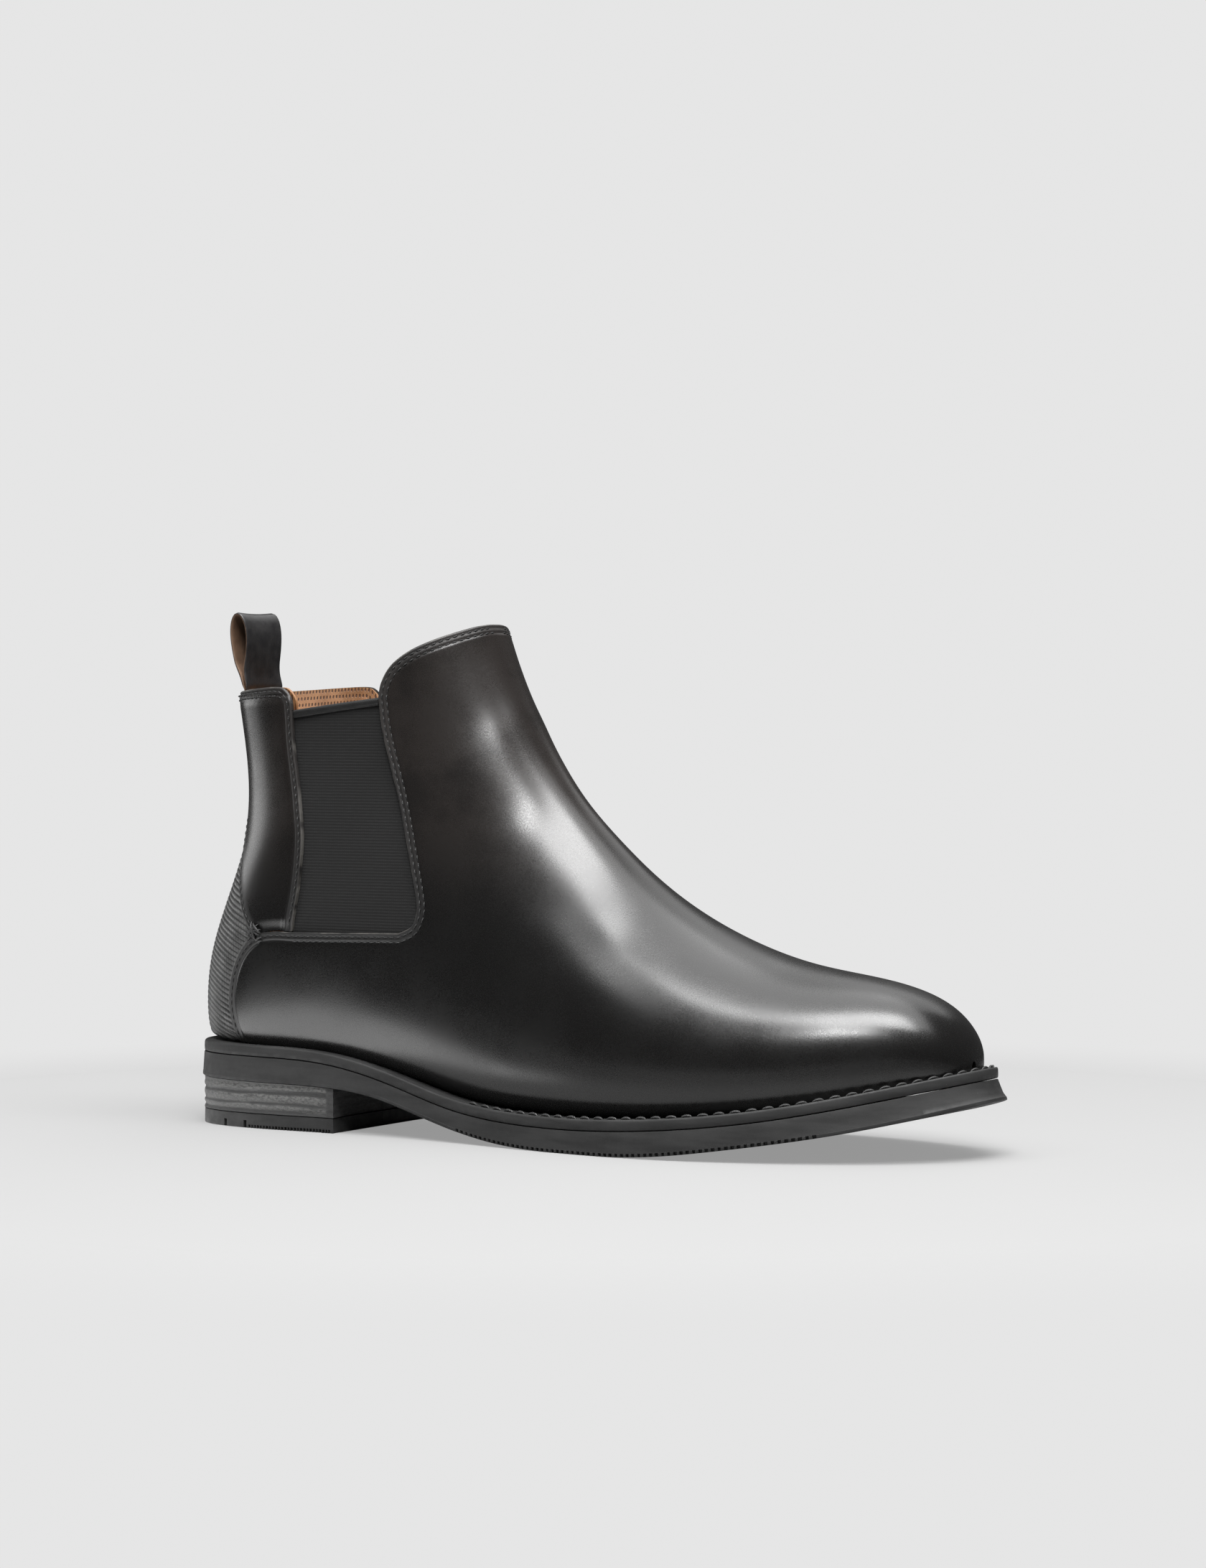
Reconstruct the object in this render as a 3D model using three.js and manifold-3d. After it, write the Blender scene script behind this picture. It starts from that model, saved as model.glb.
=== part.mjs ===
// A chelsea boot, right foot, as an assembly of its cut, sewn, lasted and nailed pieces.
// Millimetres, +X to the toe, +Z up, and -Y to the outer (lateral) side of the foot.
// The upper is built on a last: a smooth body lofted through sections that fan round from the toe,
// under the heel and up to the topline. Each piece of the upper is one layer of that body, cut out
// with its outline in side view.
import * as THREE from 'three';
import { mergeVertices } from 'three/addons/utils/BufferGeometryUtils.js';
import Module from 'manifold-3d';

const wasm = await Module();
wasm.setup();

// ---------------------------------------------------------------- driving dimensions

const GAP = 0.3; // between pieces that touch
const LEATHER = 1.6; // vamp, quarters and heel cover
const MIDDLE = 1.2; // elastic, toe puff, stiffener and tapes
const LINING = 1.0;
const WELT = 3.7;
const HEEL_LENGTH = 70.5;
const LIFT = 5.3; // the rubber lift under the heel
const LOOP_WIDTH = 23;
const GORE_HEM = 2.8; // height of the binding on top of the elastic
const GORE_UNDERLAP = 5; // how far the elastic runs on under the leather
const TAPE_WIDTH = 8;
const NAIL_RADIUS = 1;

const LAST_STEPS = 25; // sections of the last
const LAST_SIDES = 24; // points on each section
const SOLE_STEPS = 26; // rungs along the sole
const WIDE = 70; // beyond the boot's half width, for cutters that go right through

// Depths of the upper's three layers under its outer surface.
const MIDDLE_TOP = LEATHER + GAP;
const MIDDLE_END = MIDDLE_TOP + MIDDLE;
const LINING_TOP = MIDDLE_END + GAP;
const LINING_END = LINING_TOP + LINING;

// Sections of the last, from the toe tip round the heel to above the topline. Each has the x and z
// of its ridge and of its base, the lateral and medial half width, the y of its middle, the height
// of its widest point as a share of its own height, and how square its lower and upper halves are.
const LAST_SECTIONS = [
  [299.0, 31.0, 299.0, 26.0, 0.0, 0.0, 6.0, 0.5, 2.8, 2.2],
  [296.8, 38.5, 296.8, 22.0, 12.0, 12.0, 6.0, 0.54, 3.0, 2.2],
  [290.2, 47.5, 290.2, 19.5, 21.0, 21.0, 6.0, 0.49, 3.2, 2.2],
  [278.0, 54.5, 278.0, 16.0, 29.8, 30.0, 5.5, 0.445, 3.4, 2.2],
  [260.0, 59.0, 260.0, 12.0, 38.3, 38.5, 4.5, 0.405, 3.5, 2.15],
  [234.0, 63.5, 232.0, 8.5, 45.5, 46.0, 3.0, 0.36, 3.6, 2.1],
  [207.0, 73.0, 200.0, 6.0, 48.0, 48.5, 1.0, 0.335, 3.6, 2.05],
  [185.0, 86.0, 166.0, 5.0, 45.0, 44.5, 0.0, 0.325, 3.4, 2.0],
  [167.0, 101.0, 129.0, 6.5, 40.0, 38.5, 0.0, 0.34, 3.2, 2.0],
  [152.5, 116.0, 92.0, 13.0, 36.5, 35.0, 0.0, 0.38, 3.0, 2.0],
  [142.5, 128.5, 56.0, 15.0, 34.5, 34.0, 0.0, 0.455, 3.0, 2.1],
  [136.0, 138.5, 24.0, 15.0, 34.0, 33.5, 0.0, 0.515, 2.9, 2.2],
  [132.0, 145.5, 3.5, 24.0, 33.5, 33.5, 0.0, 0.515, 2.6, 2.3],
  [128.8, 151.5, -1.2, 41.0, 33.0, 33.0, 0.0, 0.5, 2.4, 2.3],
  [126.0, 157.0, 0.5, 58.0, 32.5, 32.5, 0.0, 0.5, 2.3, 2.3],
  [123.2, 163.0, 7.5, 77.0, 32.0, 32.0, 0.0, 0.5, 2.3, 2.3],
  [120.6, 169.0, 15.0, 98.0, 31.5, 31.5, 0.0, 0.5, 2.3, 2.3],
  [118.2, 175.0, 17.3, 118.0, 31.5, 31.5, 0.0, 0.5, 2.3, 2.3],
  [115.8, 181.0, 15.5, 138.0, 32.0, 32.0, 0.0, 0.5, 2.3, 2.3],
  [113.0, 188.0, 12.0, 160.0, 33.0, 33.0, 0.0, 0.5, 2.3, 2.3],
];
const FEATHER_ROUND = 3; // how softly the sections, which run on lower, turn into the flat bottom
const TOE_TIP_HEIGHT = 29;

// Side view, in x and z. The outline of the elastic gore: its front edge from the topline down,
// the round corner, and its lower edge back to the bartack.
const GORE_FRONT = [[86.4, 153], [88.2, 141], [92, 127.5], [96.3, 114], [100.6, 98], [103.9, 84.5]];
const GORE_CORNER = [[103.9, 84.5], [104.6, 79], [102.8, 73.8], [97.5, 71.2]];
const GORE_BOTTOM = [[97.5, 71.2], [75, 70.7], [51.5, 70.2]];
const GORE_REAR = [[51.5, 70.2], [54.8, 86], [56, 103], [54, 118.5], [51.2, 135], [50.5, 148.4]];
// The lower edge goes on to the bartack, and the vamp's back edge runs down in front of the cover.
const VAMP_WING = [
  [51.5, 70.2], [43, 70.2], [35, 68.6], [28, 63.4], [23.2, 55.5], [20.9, 46], [21.4, 37], [24, 29],
];
// Edge of the heel cover's tongue, from the bartack up to its peak at the back seam.
const COVER_TONGUE = [
  [34, 69.4], [30.5, 72.6], [26.8, 78.6], [23.6, 88.5], [21.4, 101], [18.8, 111], [15.5, 114],
];
// Top edges of the vamp and of the quarters.
const VAMP_TOP = [
  [86.4, 153], [87.5, 158.3], [90.8, 164], [96.8, 169], [104.4, 173], [112.8, 176.8], [121, 181.2],
];
const QUARTER_TOP = [[50.5, 148.4], [50, 152], [47.6, 155.2], [43.5, 156.5], [30, 155.8], [12, 154.2]];
// Where the vamp's lining meets the quarters' lining.
const LINING_SEAM = [[96, -10], [104, 60], [109, 120], [103, 200]];

// Plan view, in x and y: the edge of the sole, from the back of the heel along the lateral side,
// round the toe and back along the medial side.
const SOLE_EDGE = [
  [0, 0], [3, -16], [14, -27.5], [36, -33], [66, -34], [96, -35.5], [125, -40], [155, -46.5],
  [185, -51], [210, -51.5], [235, -47.5], [258, -40], [280, -28], [296, -13], [304.5, 4.5],
  [300.5, 21], [285, 35.5], [258, 47], [232, 52], [208, 53], [182, 49], [152, 41], [122, 35.5],
  [94, 33], [66, 33], [36, 32.5], [14, 27.5], [3, 16],
];
// Heights along x: the top of the welt, the underside of the sole, and the bottom of the last.
const WELT_TOP = [
  [-4, 29.8], [30, 29.4], [70, 27.5], [95, 22], [120, 15.5], [150, 12.2], [205, 13.2], [247, 18],
  [275, 23.5], [305, 30.5],
];
const SOLE_UNDERSIDE = [
  [0, 17.2], [40, 16.6], [70, 15.8], [85, 14], [105, 9], [123, 4.4], [145, 1], [165, 0], [190, 0],
  [207, 0.9], [231, 3.8], [264, 9.2], [286, 14.2], [305, 19.4],
];
const LAST_BOTTOM = [
  [5, 30.3], [30, 28], [60, 26], [94, 19.5], [130, 11.5], [166, 9], [200, 10], [232, 12.5],
  [260, 16], [278, 20], [297, 26],
];
const FEATHER_INSET = 4; // from the sole's edge to the upper
const MARGIN_INSET = FEATHER_INSET + 12; // the upper is turned under this far
const WELT_INSET = FEATHER_INSET + 9;
const STITCH_INSET = 1.9;
const STITCH_RADIUS = 0.4;
const STITCH_START = 0.225; // where along the sole's edge the stitching starts and ends, from the heel
const EDGE_FLARE = 0.6; // the sole spreads this much towards the ground
const TOE_LEAN = 2.6; // and its front edge leans forward, because the toe is tipped up
const LEAN_START = 235; // x where that lean sets in, and where it is whole
const LEAN_END = 303;

// The pull loop in side view: its pivot, and its outer and inner outlines as half depth and
// height over the pivot, up to the middle of its top.
const LOOP_PIVOT = [15.4, 157.3];
const LOOP_LEAN = -0.055; // the loop leans back by this much for each unit of height
const LOOP_OUTSIDE = [
  [0.7, -1.1], [1.25, 0], [1.7, 3.5], [2.9, 9], [3.8, 14.5], [3.95, 19], [3.2, 22.8], [1.7, 25.1],
  [0, 25.8],
];
const LOOP_INSIDE = [
  [0.1, 4], [1.7, 9], [2.65, 14.5], [2.8, 18.8], [2.15, 21.9], [1.1, 24], [0, 24.6],
];
const ANCHOR_FOOT = 138;
const ANCHOR_TOP = 155.2;

const BLACK_LEATHER = { color: 0x17171a, roughness: 0.32, metalness: 0 };
const MATT_BLACK = { color: 0x1b1b1c, roughness: 0.85, metalness: 0 };
const ELASTIC = { color: 0x222224, roughness: 0.9, metalness: 0 };
const TAN_LEATHER = { color: 0xc08a5c, roughness: 0.7, metalness: 0 };
const RUBBER = { color: 0x3a3a3b, roughness: 0.65, metalness: 0 };
const STACK = { color: 0x454546, roughness: 0.6, metalness: 0 };
const BOARD = { color: 0x9a7b52, roughness: 0.9, metalness: 0 };
const CORK = { color: 0xa9794a, roughness: 0.95, metalness: 0 };
const FOAM = { color: 0xd8cfae, roughness: 0.95, metalness: 0 };
const STEEL = { color: 0x9b9ea3, roughness: 0.35, metalness: 1 };
const THREAD = { color: 0x0f0f10, roughness: 0.8, metalness: 0 };

// ---------------------------------------------------------------- curves and surfaces

// A natural cubic spline through rows of numbers at rising knots, as a function of the knot value.
function naturalSpline(knots, rows) {
  const last = rows.length - 1;
  const bend = rows.map((row) => row.map(() => 0));
  for (let column = 0; column < rows[0].length; column += 1) {
    const upper = [0];
    const right = [0];
    for (let i = 1; i < last; i += 1) {
      const before = knots[i] - knots[i - 1];
      const after = knots[i + 1] - knots[i];
      const rise = (rows[i + 1][column] - rows[i][column]) / after;
      const rose = (rows[i][column] - rows[i - 1][column]) / before;
      const pivot = 2 * (before + after) - before * upper[i - 1];
      upper[i] = after / pivot;
      right[i] = (6 * (rise - rose) - before * right[i - 1]) / pivot;
    }
    for (let i = last - 1; i > 0; i -= 1) {
      bend[i][column] = right[i] - upper[i] * bend[i + 1][column];
    }
  }
  return (at) => {
    let i = 0;
    while (i < last - 1 && at > knots[i + 1]) i += 1;
    const span = knots[i + 1] - knots[i];
    const a = (knots[i + 1] - at) / span;
    const b = (at - knots[i]) / span;
    return rows[i].map((value, column) => {
      const curve = (a ** 3 - a) * bend[i][column] + (b ** 3 - b) * bend[i + 1][column];
      return a * value + b * rows[i + 1][column] + (curve * span ** 2) / 6;
    });
  };
}

// A height along x, from points in x and z.
function heightAlong(points) {
  const spline = naturalSpline(points.map((p) => p[0]), points.map((p) => [p[1]]));
  return (x) => spline(x)[0];
}

const weltTop = heightAlong(WELT_TOP);
const lastBottom = heightAlong(LAST_BOTTOM);
const soleUnderside = heightAlong(SOLE_UNDERSIDE);
const soleTop = (x) => weltTop(x) - WELT - GAP;

// Parameters of the last's section at u, 0 at the toe tip and 1 above the topline. The knots are
// spaced by the root of the distance between sections, which rounds the toe.
function lastSpline() {
  const knots = [0];
  for (let i = 1; i < LAST_SECTIONS.length; i += 1) {
    const [a, b] = [LAST_SECTIONS[i - 1], LAST_SECTIONS[i]];
    const ridge = Math.hypot(b[0] - a[0], b[1] - a[1]);
    const base = Math.hypot(b[2] - a[2], b[3] - a[3]);
    knots.push(knots[i - 1] + Math.sqrt((ridge + base) / 2));
  }
  return naturalSpline(knots.map((knot) => knot / knots[knots.length - 1]), LAST_SECTIONS);
}

const lastSection = lastSpline();

// A point on the last: v is 0 at the base, pi at the ridge, and between them on the lateral side.
function lastPoint(u, v) {
  const [ridgeX, ridgeZ, baseX, baseZ, lateral, medial, middle, widest, lower, upper] = lastSection(u);
  const up = -Math.cos(v);
  const out = Math.sin(v);
  const square = 2 / (up < 0 ? lower : upper);
  const reach = Math.abs(up) ** square;
  const height = up < 0 ? widest * (1 - reach) : widest + (1 - widest) * reach;
  const width = out > 0 ? lateral : medial;
  const x = baseX + (ridgeX - baseX) * height;
  const y = middle - Math.sign(out) * width * Math.abs(out) ** square;
  const z = baseZ + (ridgeZ - baseZ) * height;
  const bottom = lastBottom(x);
  return new THREE.Vector3(x, y, (z + bottom + Math.hypot(z - bottom, FEATHER_ROUND)) / 2);
}

// The same point, a given depth under the surface.
function lastInside(u, v, depth) {
  const step = 1e-3;
  const along = lastPoint(u + step, v).sub(lastPoint(u - step, v));
  const round = lastPoint(u, v + step).sub(lastPoint(u, v - step));
  const inward = along.cross(round).normalize();
  return lastPoint(u, v).addScaledVector(inward, depth);
}

// The edge of the sole at t (0 at the heel's back, 0.5 at the toe), moved in by a given distance.
const soleEdge = new THREE.CatmullRomCurve3(
  SOLE_EDGE.map(([x, y]) => new THREE.Vector3(x, y, 0)), true, 'catmullrom', 0.5,
);

function edgePoint(t, inset) {
  const tangent = soleEdge.getTangent(t);
  return soleEdge.getPoint(t).add(new THREE.Vector3(-tangent.y, tangent.x, 0).multiplyScalar(inset));
}

// ---------------------------------------------------------------- solids

// A closed body through rings of points, with a fan at each end to the points start and end.
function loft(rings, start, end) {
  const points = [start, ...rings.flat(), end];
  const sides = rings[0].length;
  const index = [];
  for (let side = 0; side < sides; side += 1) {
    const next = (side + 1) % sides;
    index.push(0, 1 + side, 1 + next);
    for (let ring = 0; ring < rings.length - 1; ring += 1) {
      const a = 1 + ring * sides;
      const b = a + sides;
      index.push(a + side, b + side, b + next, a + side, b + next, a + next);
    }
    const top = 1 + (rings.length - 1) * sides;
    index.push(top + side, points.length - 1, top + next);
  }
  return new THREE.BufferGeometry().setFromPoints(points).setIndex(index);
}

// The signed volume of a mesh: below zero when its faces point inwards.
function volumeOf(points, index) {
  const corner = (i) => new THREE.Vector3().fromArray(points, index[i] * 3);
  let volume = 0;
  for (let i = 0; i < index.length; i += 3) {
    volume += corner(i).dot(corner(i + 1).cross(corner(i + 2))) / 6;
  }
  return volume;
}

// A closed three.js geometry as a solid that can be cut and joined.
function toSolid(geometry) {
  const bare = geometry.clone();
  bare.deleteAttribute('normal');
  bare.deleteAttribute('uv');
  const merged = mergeVertices(bare, 1e-4);
  const points = merged.attributes.position.array;
  const index = [];
  for (let i = 0; i < merged.index.count; i += 3) {
    const [a, b, c] = [0, 1, 2].map((corner) => merged.index.getX(i + corner));
    if (a !== b && b !== c && c !== a) index.push(a, b, c);
  }
  if (volumeOf(points, index) < 0) index.reverse();
  return new wasm.Manifold(new wasm.Mesh({
    numProp: 3,
    vertProperties: Float32Array.from(points),
    triVerts: Uint32Array.from(index),
  }));
}

function toGeometry(solid) {
  const { vertProperties, triVerts } = solid.getMesh();
  const geometry = new THREE.BufferGeometry();
  geometry.setAttribute('position', new THREE.BufferAttribute(vertProperties, 3));
  geometry.setIndex(new THREE.BufferAttribute(triVerts, 1));
  return geometry;
}

// The whole last, a given depth under its surface, or over it where the depth is below zero.
function lastSolid(depth) {
  const rings = [];
  for (let i = 1; i <= LAST_STEPS; i += 1) {
    const ring = [];
    for (let side = 0; side < LAST_SIDES; side += 1) {
      ring.push(lastInside(i / LAST_STEPS, ((side + 0.5) / LAST_SIDES) * 2 * Math.PI, depth));
    }
    rings.push(ring);
  }
  const tip = new THREE.Vector3(LAST_SECTIONS[0][0] - depth, LAST_SECTIONS[0][6], TOE_TIP_HEIGHT);
  const top = new THREE.Vector3();
  rings[LAST_STEPS - 1].forEach((point) => top.addScaledVector(point, 1 / LAST_SIDES));
  return toSolid(loft(rings, tip, top));
}

// A layer of the upper between two depths.
const layer = (from, to) => lastSolid(from).subtract(lastSolid(to));

// A line of points moved sideways in its own plane, to the left of its direction.
function shifted(points, distance) {
  return points.map((point, i) => {
    const [ax, ay] = points[Math.max(i - 1, 0)];
    const [bx, by] = points[Math.min(i + 1, points.length - 1)];
    const length = Math.hypot(bx - ax, by - ay);
    return [point[0] - ((by - ay) / length) * distance, point[1] + ((bx - ax) / length) * distance];
  });
}

// An outline from runs of points: a run of two is a straight line, a longer one is a smooth curve.
function outline(...runs) {
  const shape = new THREE.Shape();
  shape.moveTo(...runs[0][0]);
  runs.forEach((run) => {
    shape.lineTo(...run[0]);
    if (run.length === 2) shape.lineTo(...run[1]);
    else shape.splineThru(run.slice(1).map(([x, y]) => new THREE.Vector2(x, y)));
  });
  return shape;
}

// A cutter with its outline in side view, from one y to another.
function sideCutter(shape, from = -WIDE, to = WIDE, curveSegments = 2) {
  const depth = to - from;
  const geometry = new THREE.ExtrudeGeometry(shape, { depth, bevelEnabled: false, curveSegments });
  geometry.rotateX(Math.PI / 2);
  geometry.translate(0, to, 0);
  return toSolid(geometry);
}

// A cutter with its outline in plan view, from one z to another.
function planCutter(shape, from, to) {
  const depth = to - from;
  const geometry = new THREE.ExtrudeGeometry(shape, { depth, bevelEnabled: false, curveSegments: 4 });
  geometry.translate(0, 0, from);
  return toSolid(geometry);
}

// A slab under the whole foot, between two heights that follow x. Its edge is moved in from the
// sole's edge by one distance at the top and by another at the bottom, where it may also lean.
function soleSlab(low, high, topInset, bottomInset = topInset, lean = 0) {
  const rings = [];
  for (let i = 1; i < SOLE_STEPS; i += 1) {
    const t = (1 - Math.cos((Math.PI * i) / SOLE_STEPS)) / 4;
    const under = [[t, bottomInset, low, lean], [1 - t, bottomInset, low, lean]];
    const over = [[1 - t, topInset, high, 0], [t, topInset, high, 0]];
    rings.push([...under, ...over].map(([at, inset, height, forward]) => {
      const point = edgePoint(at, inset);
      point.setZ(height(point.x));
      return point.setX(point.x + forward * THREE.MathUtils.smoothstep(point.x, LEAN_START, LEAN_END));
    }));
  }
  const ends = [0, 0.5].map((t) => {
    const point = edgePoint(t, (topInset + bottomInset) / 2);
    point.setZ((low(point.x) + high(point.x)) / 2);
    return point.setX(point.x + t * lean);
  });
  return toSolid(loft(rings, ends[0], ends[1]));
}

// A strip along x in the middle of the foot, with round ends, between two heights that follow x.
function middleStrip(from, to, halfWidth, low, high, steps = 8) {
  const rings = [];
  for (let i = 1; i < steps; i += 1) {
    const turn = (Math.PI * i) / steps;
    const x = from + ((to - from) * (1 - Math.cos(turn))) / 2;
    const y = halfWidth * Math.sin(turn) ** 0.4;
    const corners = [[y, low], [-y, low], [-y, high], [y, high]];
    rings.push(corners.map(([side, height]) => new THREE.Vector3(x, side, height(x))));
  }
  const ends = [from, to].map((x) => new THREE.Vector3(x, 0, (low(x) + high(x)) / 2));
  return toSolid(loft(rings, ends[0], ends[1]));
}

const above = (height, distance) => (x) => height(x) + distance;
const level = (z) => () => z;

// ---------------------------------------------------------------- outlines of the upper's pieces

const HALF = GAP / 2;
const BELOW = -20; // lower than the boot, for outlines that run out at the bottom
const BEHIND = -20;
const AHEAD = 340;
const OVER = 190; // higher than the topline
const COVER_PEAK = 114; // height of the seam between quarters and heel cover at the back
const BACK_TOP = 153.2; // height of the topline behind the boot, in line with its back end
const backwards = (run) => run.slice().reverse();
const lowered = (run, drop) => run.map(([x, z]) => [x, z - drop]);

function vampOutline() {
  return outline(
    backwards(VAMP_TOP),
    shifted(GORE_FRONT, HALF),
    shifted(GORE_CORNER, HALF),
    shifted(GORE_BOTTOM, HALF),
    shifted(VAMP_WING, HALF),
    [[24, BELOW], [AHEAD, BELOW]],
    [[AHEAD, OVER], VAMP_TOP[6]],
  );
}

function quarterOutline() {
  const tongue = backwards(shifted(COVER_TONGUE, -HALF));
  return outline(
    [[BEHIND, COVER_PEAK + HALF], tongue[0]],
    tongue,
    backwards(shifted(VAMP_WING, -HALF).slice(0, 3)),
    shifted(GORE_REAR, HALF).slice(1),
    QUARTER_TOP,
    [QUARTER_TOP[5], [BEHIND, BACK_TOP]],
  );
}

function heelCoverOutline() {
  const tongue = backwards(shifted(COVER_TONGUE, HALF));
  return outline(
    [[BEHIND, COVER_PEAK - HALF], tongue[0]],
    tongue,
    shifted(VAMP_WING, -HALF).slice(3),
    [[24, BELOW], [BEHIND, BELOW]],
  );
}

// Everything that lies lower than the topline by a distance.
function belowTopline(drop) {
  return outline(
    [[BEHIND, BACK_TOP - drop], [QUARTER_TOP[5][0], QUARTER_TOP[5][1] - drop]],
    backwards(lowered(QUARTER_TOP, drop)),
    lowered(VAMP_TOP, drop),
    [[AHEAD, OVER], [AHEAD, BELOW]],
    [[BEHIND, BELOW], [BEHIND, COVER_PEAK]],
  );
}

// The gore's top edge between two values of x, lowered by a distance.
function goreTop(from, to, drop) {
  const slope = (GORE_FRONT[0][1] - GORE_REAR[5][1]) / (GORE_FRONT[0][0] - GORE_REAR[5][0]);
  return [from, to].map((x) => [x, GORE_REAR[5][1] + slope * (x - GORE_REAR[5][0]) - drop]);
}

// The elastic: the opening between vamp and quarter, made wider where it runs under them.
function goreOutline() {
  const [rear, front] = [GORE_REAR[5][0] - GORE_UNDERLAP, GORE_FRONT[0][0] + GORE_UNDERLAP];
  return outline(
    goreTop(rear, front, GORE_HEM + GAP),
    shifted(GORE_FRONT, GORE_UNDERLAP).slice(1),
    shifted(GORE_CORNER, GORE_UNDERLAP).slice(1),
    shifted(GORE_BOTTOM, GORE_UNDERLAP).slice(1),
    shifted(GORE_REAR, GORE_UNDERLAP).slice(0, 5),
  );
}

function bindingOutline() {
  const [rear, front] = [GORE_REAR[5][0] + GAP, GORE_FRONT[0][0] - GAP];
  return outline(goreTop(rear, front, 0), backwards(goreTop(rear, front, GORE_HEM)));
}

// ---------------------------------------------------------------- pieces of the upper

const leatherLayer = layer(0, LEATHER);
const middleLayer = layer(MIDDLE_TOP, MIDDLE_END);
const liningLayer = layer(LINING_TOP, LINING_END);
// The hole that the turned-under edges of the upper leave under the foot.
const underfoot = soleSlab(above(lastBottom, -9), above(lastBottom, 7), MARGIN_INSET);
const SIDES = { lateral: [-WIDE, -HALF], medial: [HALF, WIDE] };

const vamp = () => leatherLayer.intersect(sideCutter(vampOutline())).subtract(underfoot);
const heelCover = () => leatherLayer.intersect(sideCutter(heelCoverOutline())).subtract(underfoot);
const quarter = (side) => leatherLayer.intersect(sideCutter(quarterOutline(), ...SIDES[side]));
const gore = (side) => middleLayer.intersect(sideCutter(goreOutline(), ...SIDES[side]));

// The folded tape sewn over the top of the elastic, a little proud of it.
function goreBinding(side) {
  return layer(LEATHER - 0.7, MIDDLE_END).intersect(sideCutter(bindingOutline(), ...SIDES[side]));
}

// Reinforcement between leather and lining along the vamp's top edge, round the front.
function frontTape() {
  const edge = VAMP_TOP.slice(3);
  const strip = outline(lowered(edge, 0.5), backwards(lowered(edge, TAPE_WIDTH)));
  return middleLayer.intersect(sideCutter(strip));
}

// The same along a quarter's top edge, from the pull loop's tails to the gore.
function rearTape(side) {
  const edge = [[46, 156.2], [43.5, 156.5], [30, 155.8], [12, 154.2], [8, 154]];
  const strip = outline(lowered(edge, 0.5), backwards(lowered(edge, TAPE_WIDTH)));
  const beside = LOOP_WIDTH / 2 + GAP;
  const [from, to] = side === 'lateral' ? [-WIDE, -beside] : [beside, WIDE];
  return middleLayer.intersect(sideCutter(strip, from, to));
}

// The pull loop's tails, sewn in between the quarters and their lining.
function loopAnchor() {
  const tails = outline(
    [[BEHIND, ANCHOR_FOOT], [40, ANCHOR_FOOT]],
    [[40, ANCHOR_TOP], [BEHIND, ANCHOR_TOP]],
  );
  return middleLayer.intersect(sideCutter(tails, -LOOP_WIDTH / 2, LOOP_WIDTH / 2));
}

function lining(part) {
  const [top, foot] = [[103, 200], [96, BELOW]];
  const away = part === 'vamp' ? AHEAD : BEHIND;
  const edge = shifted(LINING_SEAM, part === 'vamp' ? -HALF : HALF);
  const side = outline(edge, [[away, top[1]], [away, foot[1]]]);
  return liningLayer
    .intersect(sideCutter(belowTopline(0.4)))
    .intersect(sideCutter(side))
    .subtract(underfoot);
}

function toePuff() {
  const front = outline([[246, 100], [254, BELOW]], [[AHEAD, BELOW], [AHEAD, 100]]);
  return middleLayer.intersect(sideCutter(front)).subtract(underfoot);
}

function heelStiffener() {
  const cup = outline(
    [[BEHIND, 64.5], [12, 64.5]],
    [[12, 64.5], [38, 61], [62, 50], [80, 34], [86, 20]],
    [[86, BELOW], [BEHIND, BELOW]],
  );
  return middleLayer.intersect(sideCutter(cup)).subtract(underfoot);
}

// The crossed stitches that lock the corner where vamp, quarter and heel cover meet.
function bartack(side) {
  const patch = outline([[31, 67], [37, 66]], [[37.4, 72], [31.6, 73]]);
  return layer(-GAP - 0.8, -GAP).intersect(sideCutter(patch, ...SIDES[side]));
}

function pullLoop() {
  const place = ([x, z]) => [LOOP_PIVOT[0] + x + LOOP_LEAN * z, LOOP_PIVOT[1] + z];
  const round = (half) => [...half, ...backwards(half).slice(1).map(([x, z]) => [-x, z])].map(place);
  const shape = outline(round(LOOP_OUTSIDE));
  shape.holes.push(outline(round(LOOP_INSIDE)));
  return sideCutter(shape, -LOOP_WIDTH / 2, LOOP_WIDTH / 2);
}

// ---------------------------------------------------------------- pieces of the bottom

const BOARD_THICKNESS = 2.2;
const CUSHION = 1.9;
const SOCK = 1.4;
const boardFoot = LINING_END + GAP;
const cushionFoot = boardFoot + BOARD_THICKNESS + GAP;
const cavity = lastSolid(boardFoot);
const SHANK = { from: 58, to: 152, half: 7, foot: 2.6, top: 4.1 };
const NAILS = [[14, -14], [14, 14], [52, -18], [52, 18]];
const NAIL_FOOT = 6.8;
const NAIL_TOP = 22.8;

// The board's underside takes the shape of the cavity.
function insoleBoard() {
  const foot = above(lastBottom, boardFoot);
  return soleSlab(above(foot, -4), above(foot, BOARD_THICKNESS), 3).intersect(cavity);
}

function heelCushion() {
  const foot = above(lastBottom, cushionFoot);
  return middleStrip(12, 64, 21, foot, above(foot, CUSHION));
}

// The sock liner rises over the heel cushion.
function sockLiner() {
  const rise = (x) => (CUSHION + GAP) * (1 - THREE.MathUtils.smoothstep(x, 80, 104));
  const foot = (x) => lastBottom(x) + cushionFoot + rise(x);
  return soleSlab(foot, above(foot, SOCK), 3).intersect(cavity);
}

function shankBody(clearance) {
  const { from, to, half, foot, top } = SHANK;
  const low = above(lastBottom, foot - clearance);
  const high = above(lastBottom, top + (clearance ? 2 : 0));
  return middleStrip(from - clearance, to + clearance, half + clearance, low, high, 10);
}

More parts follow.
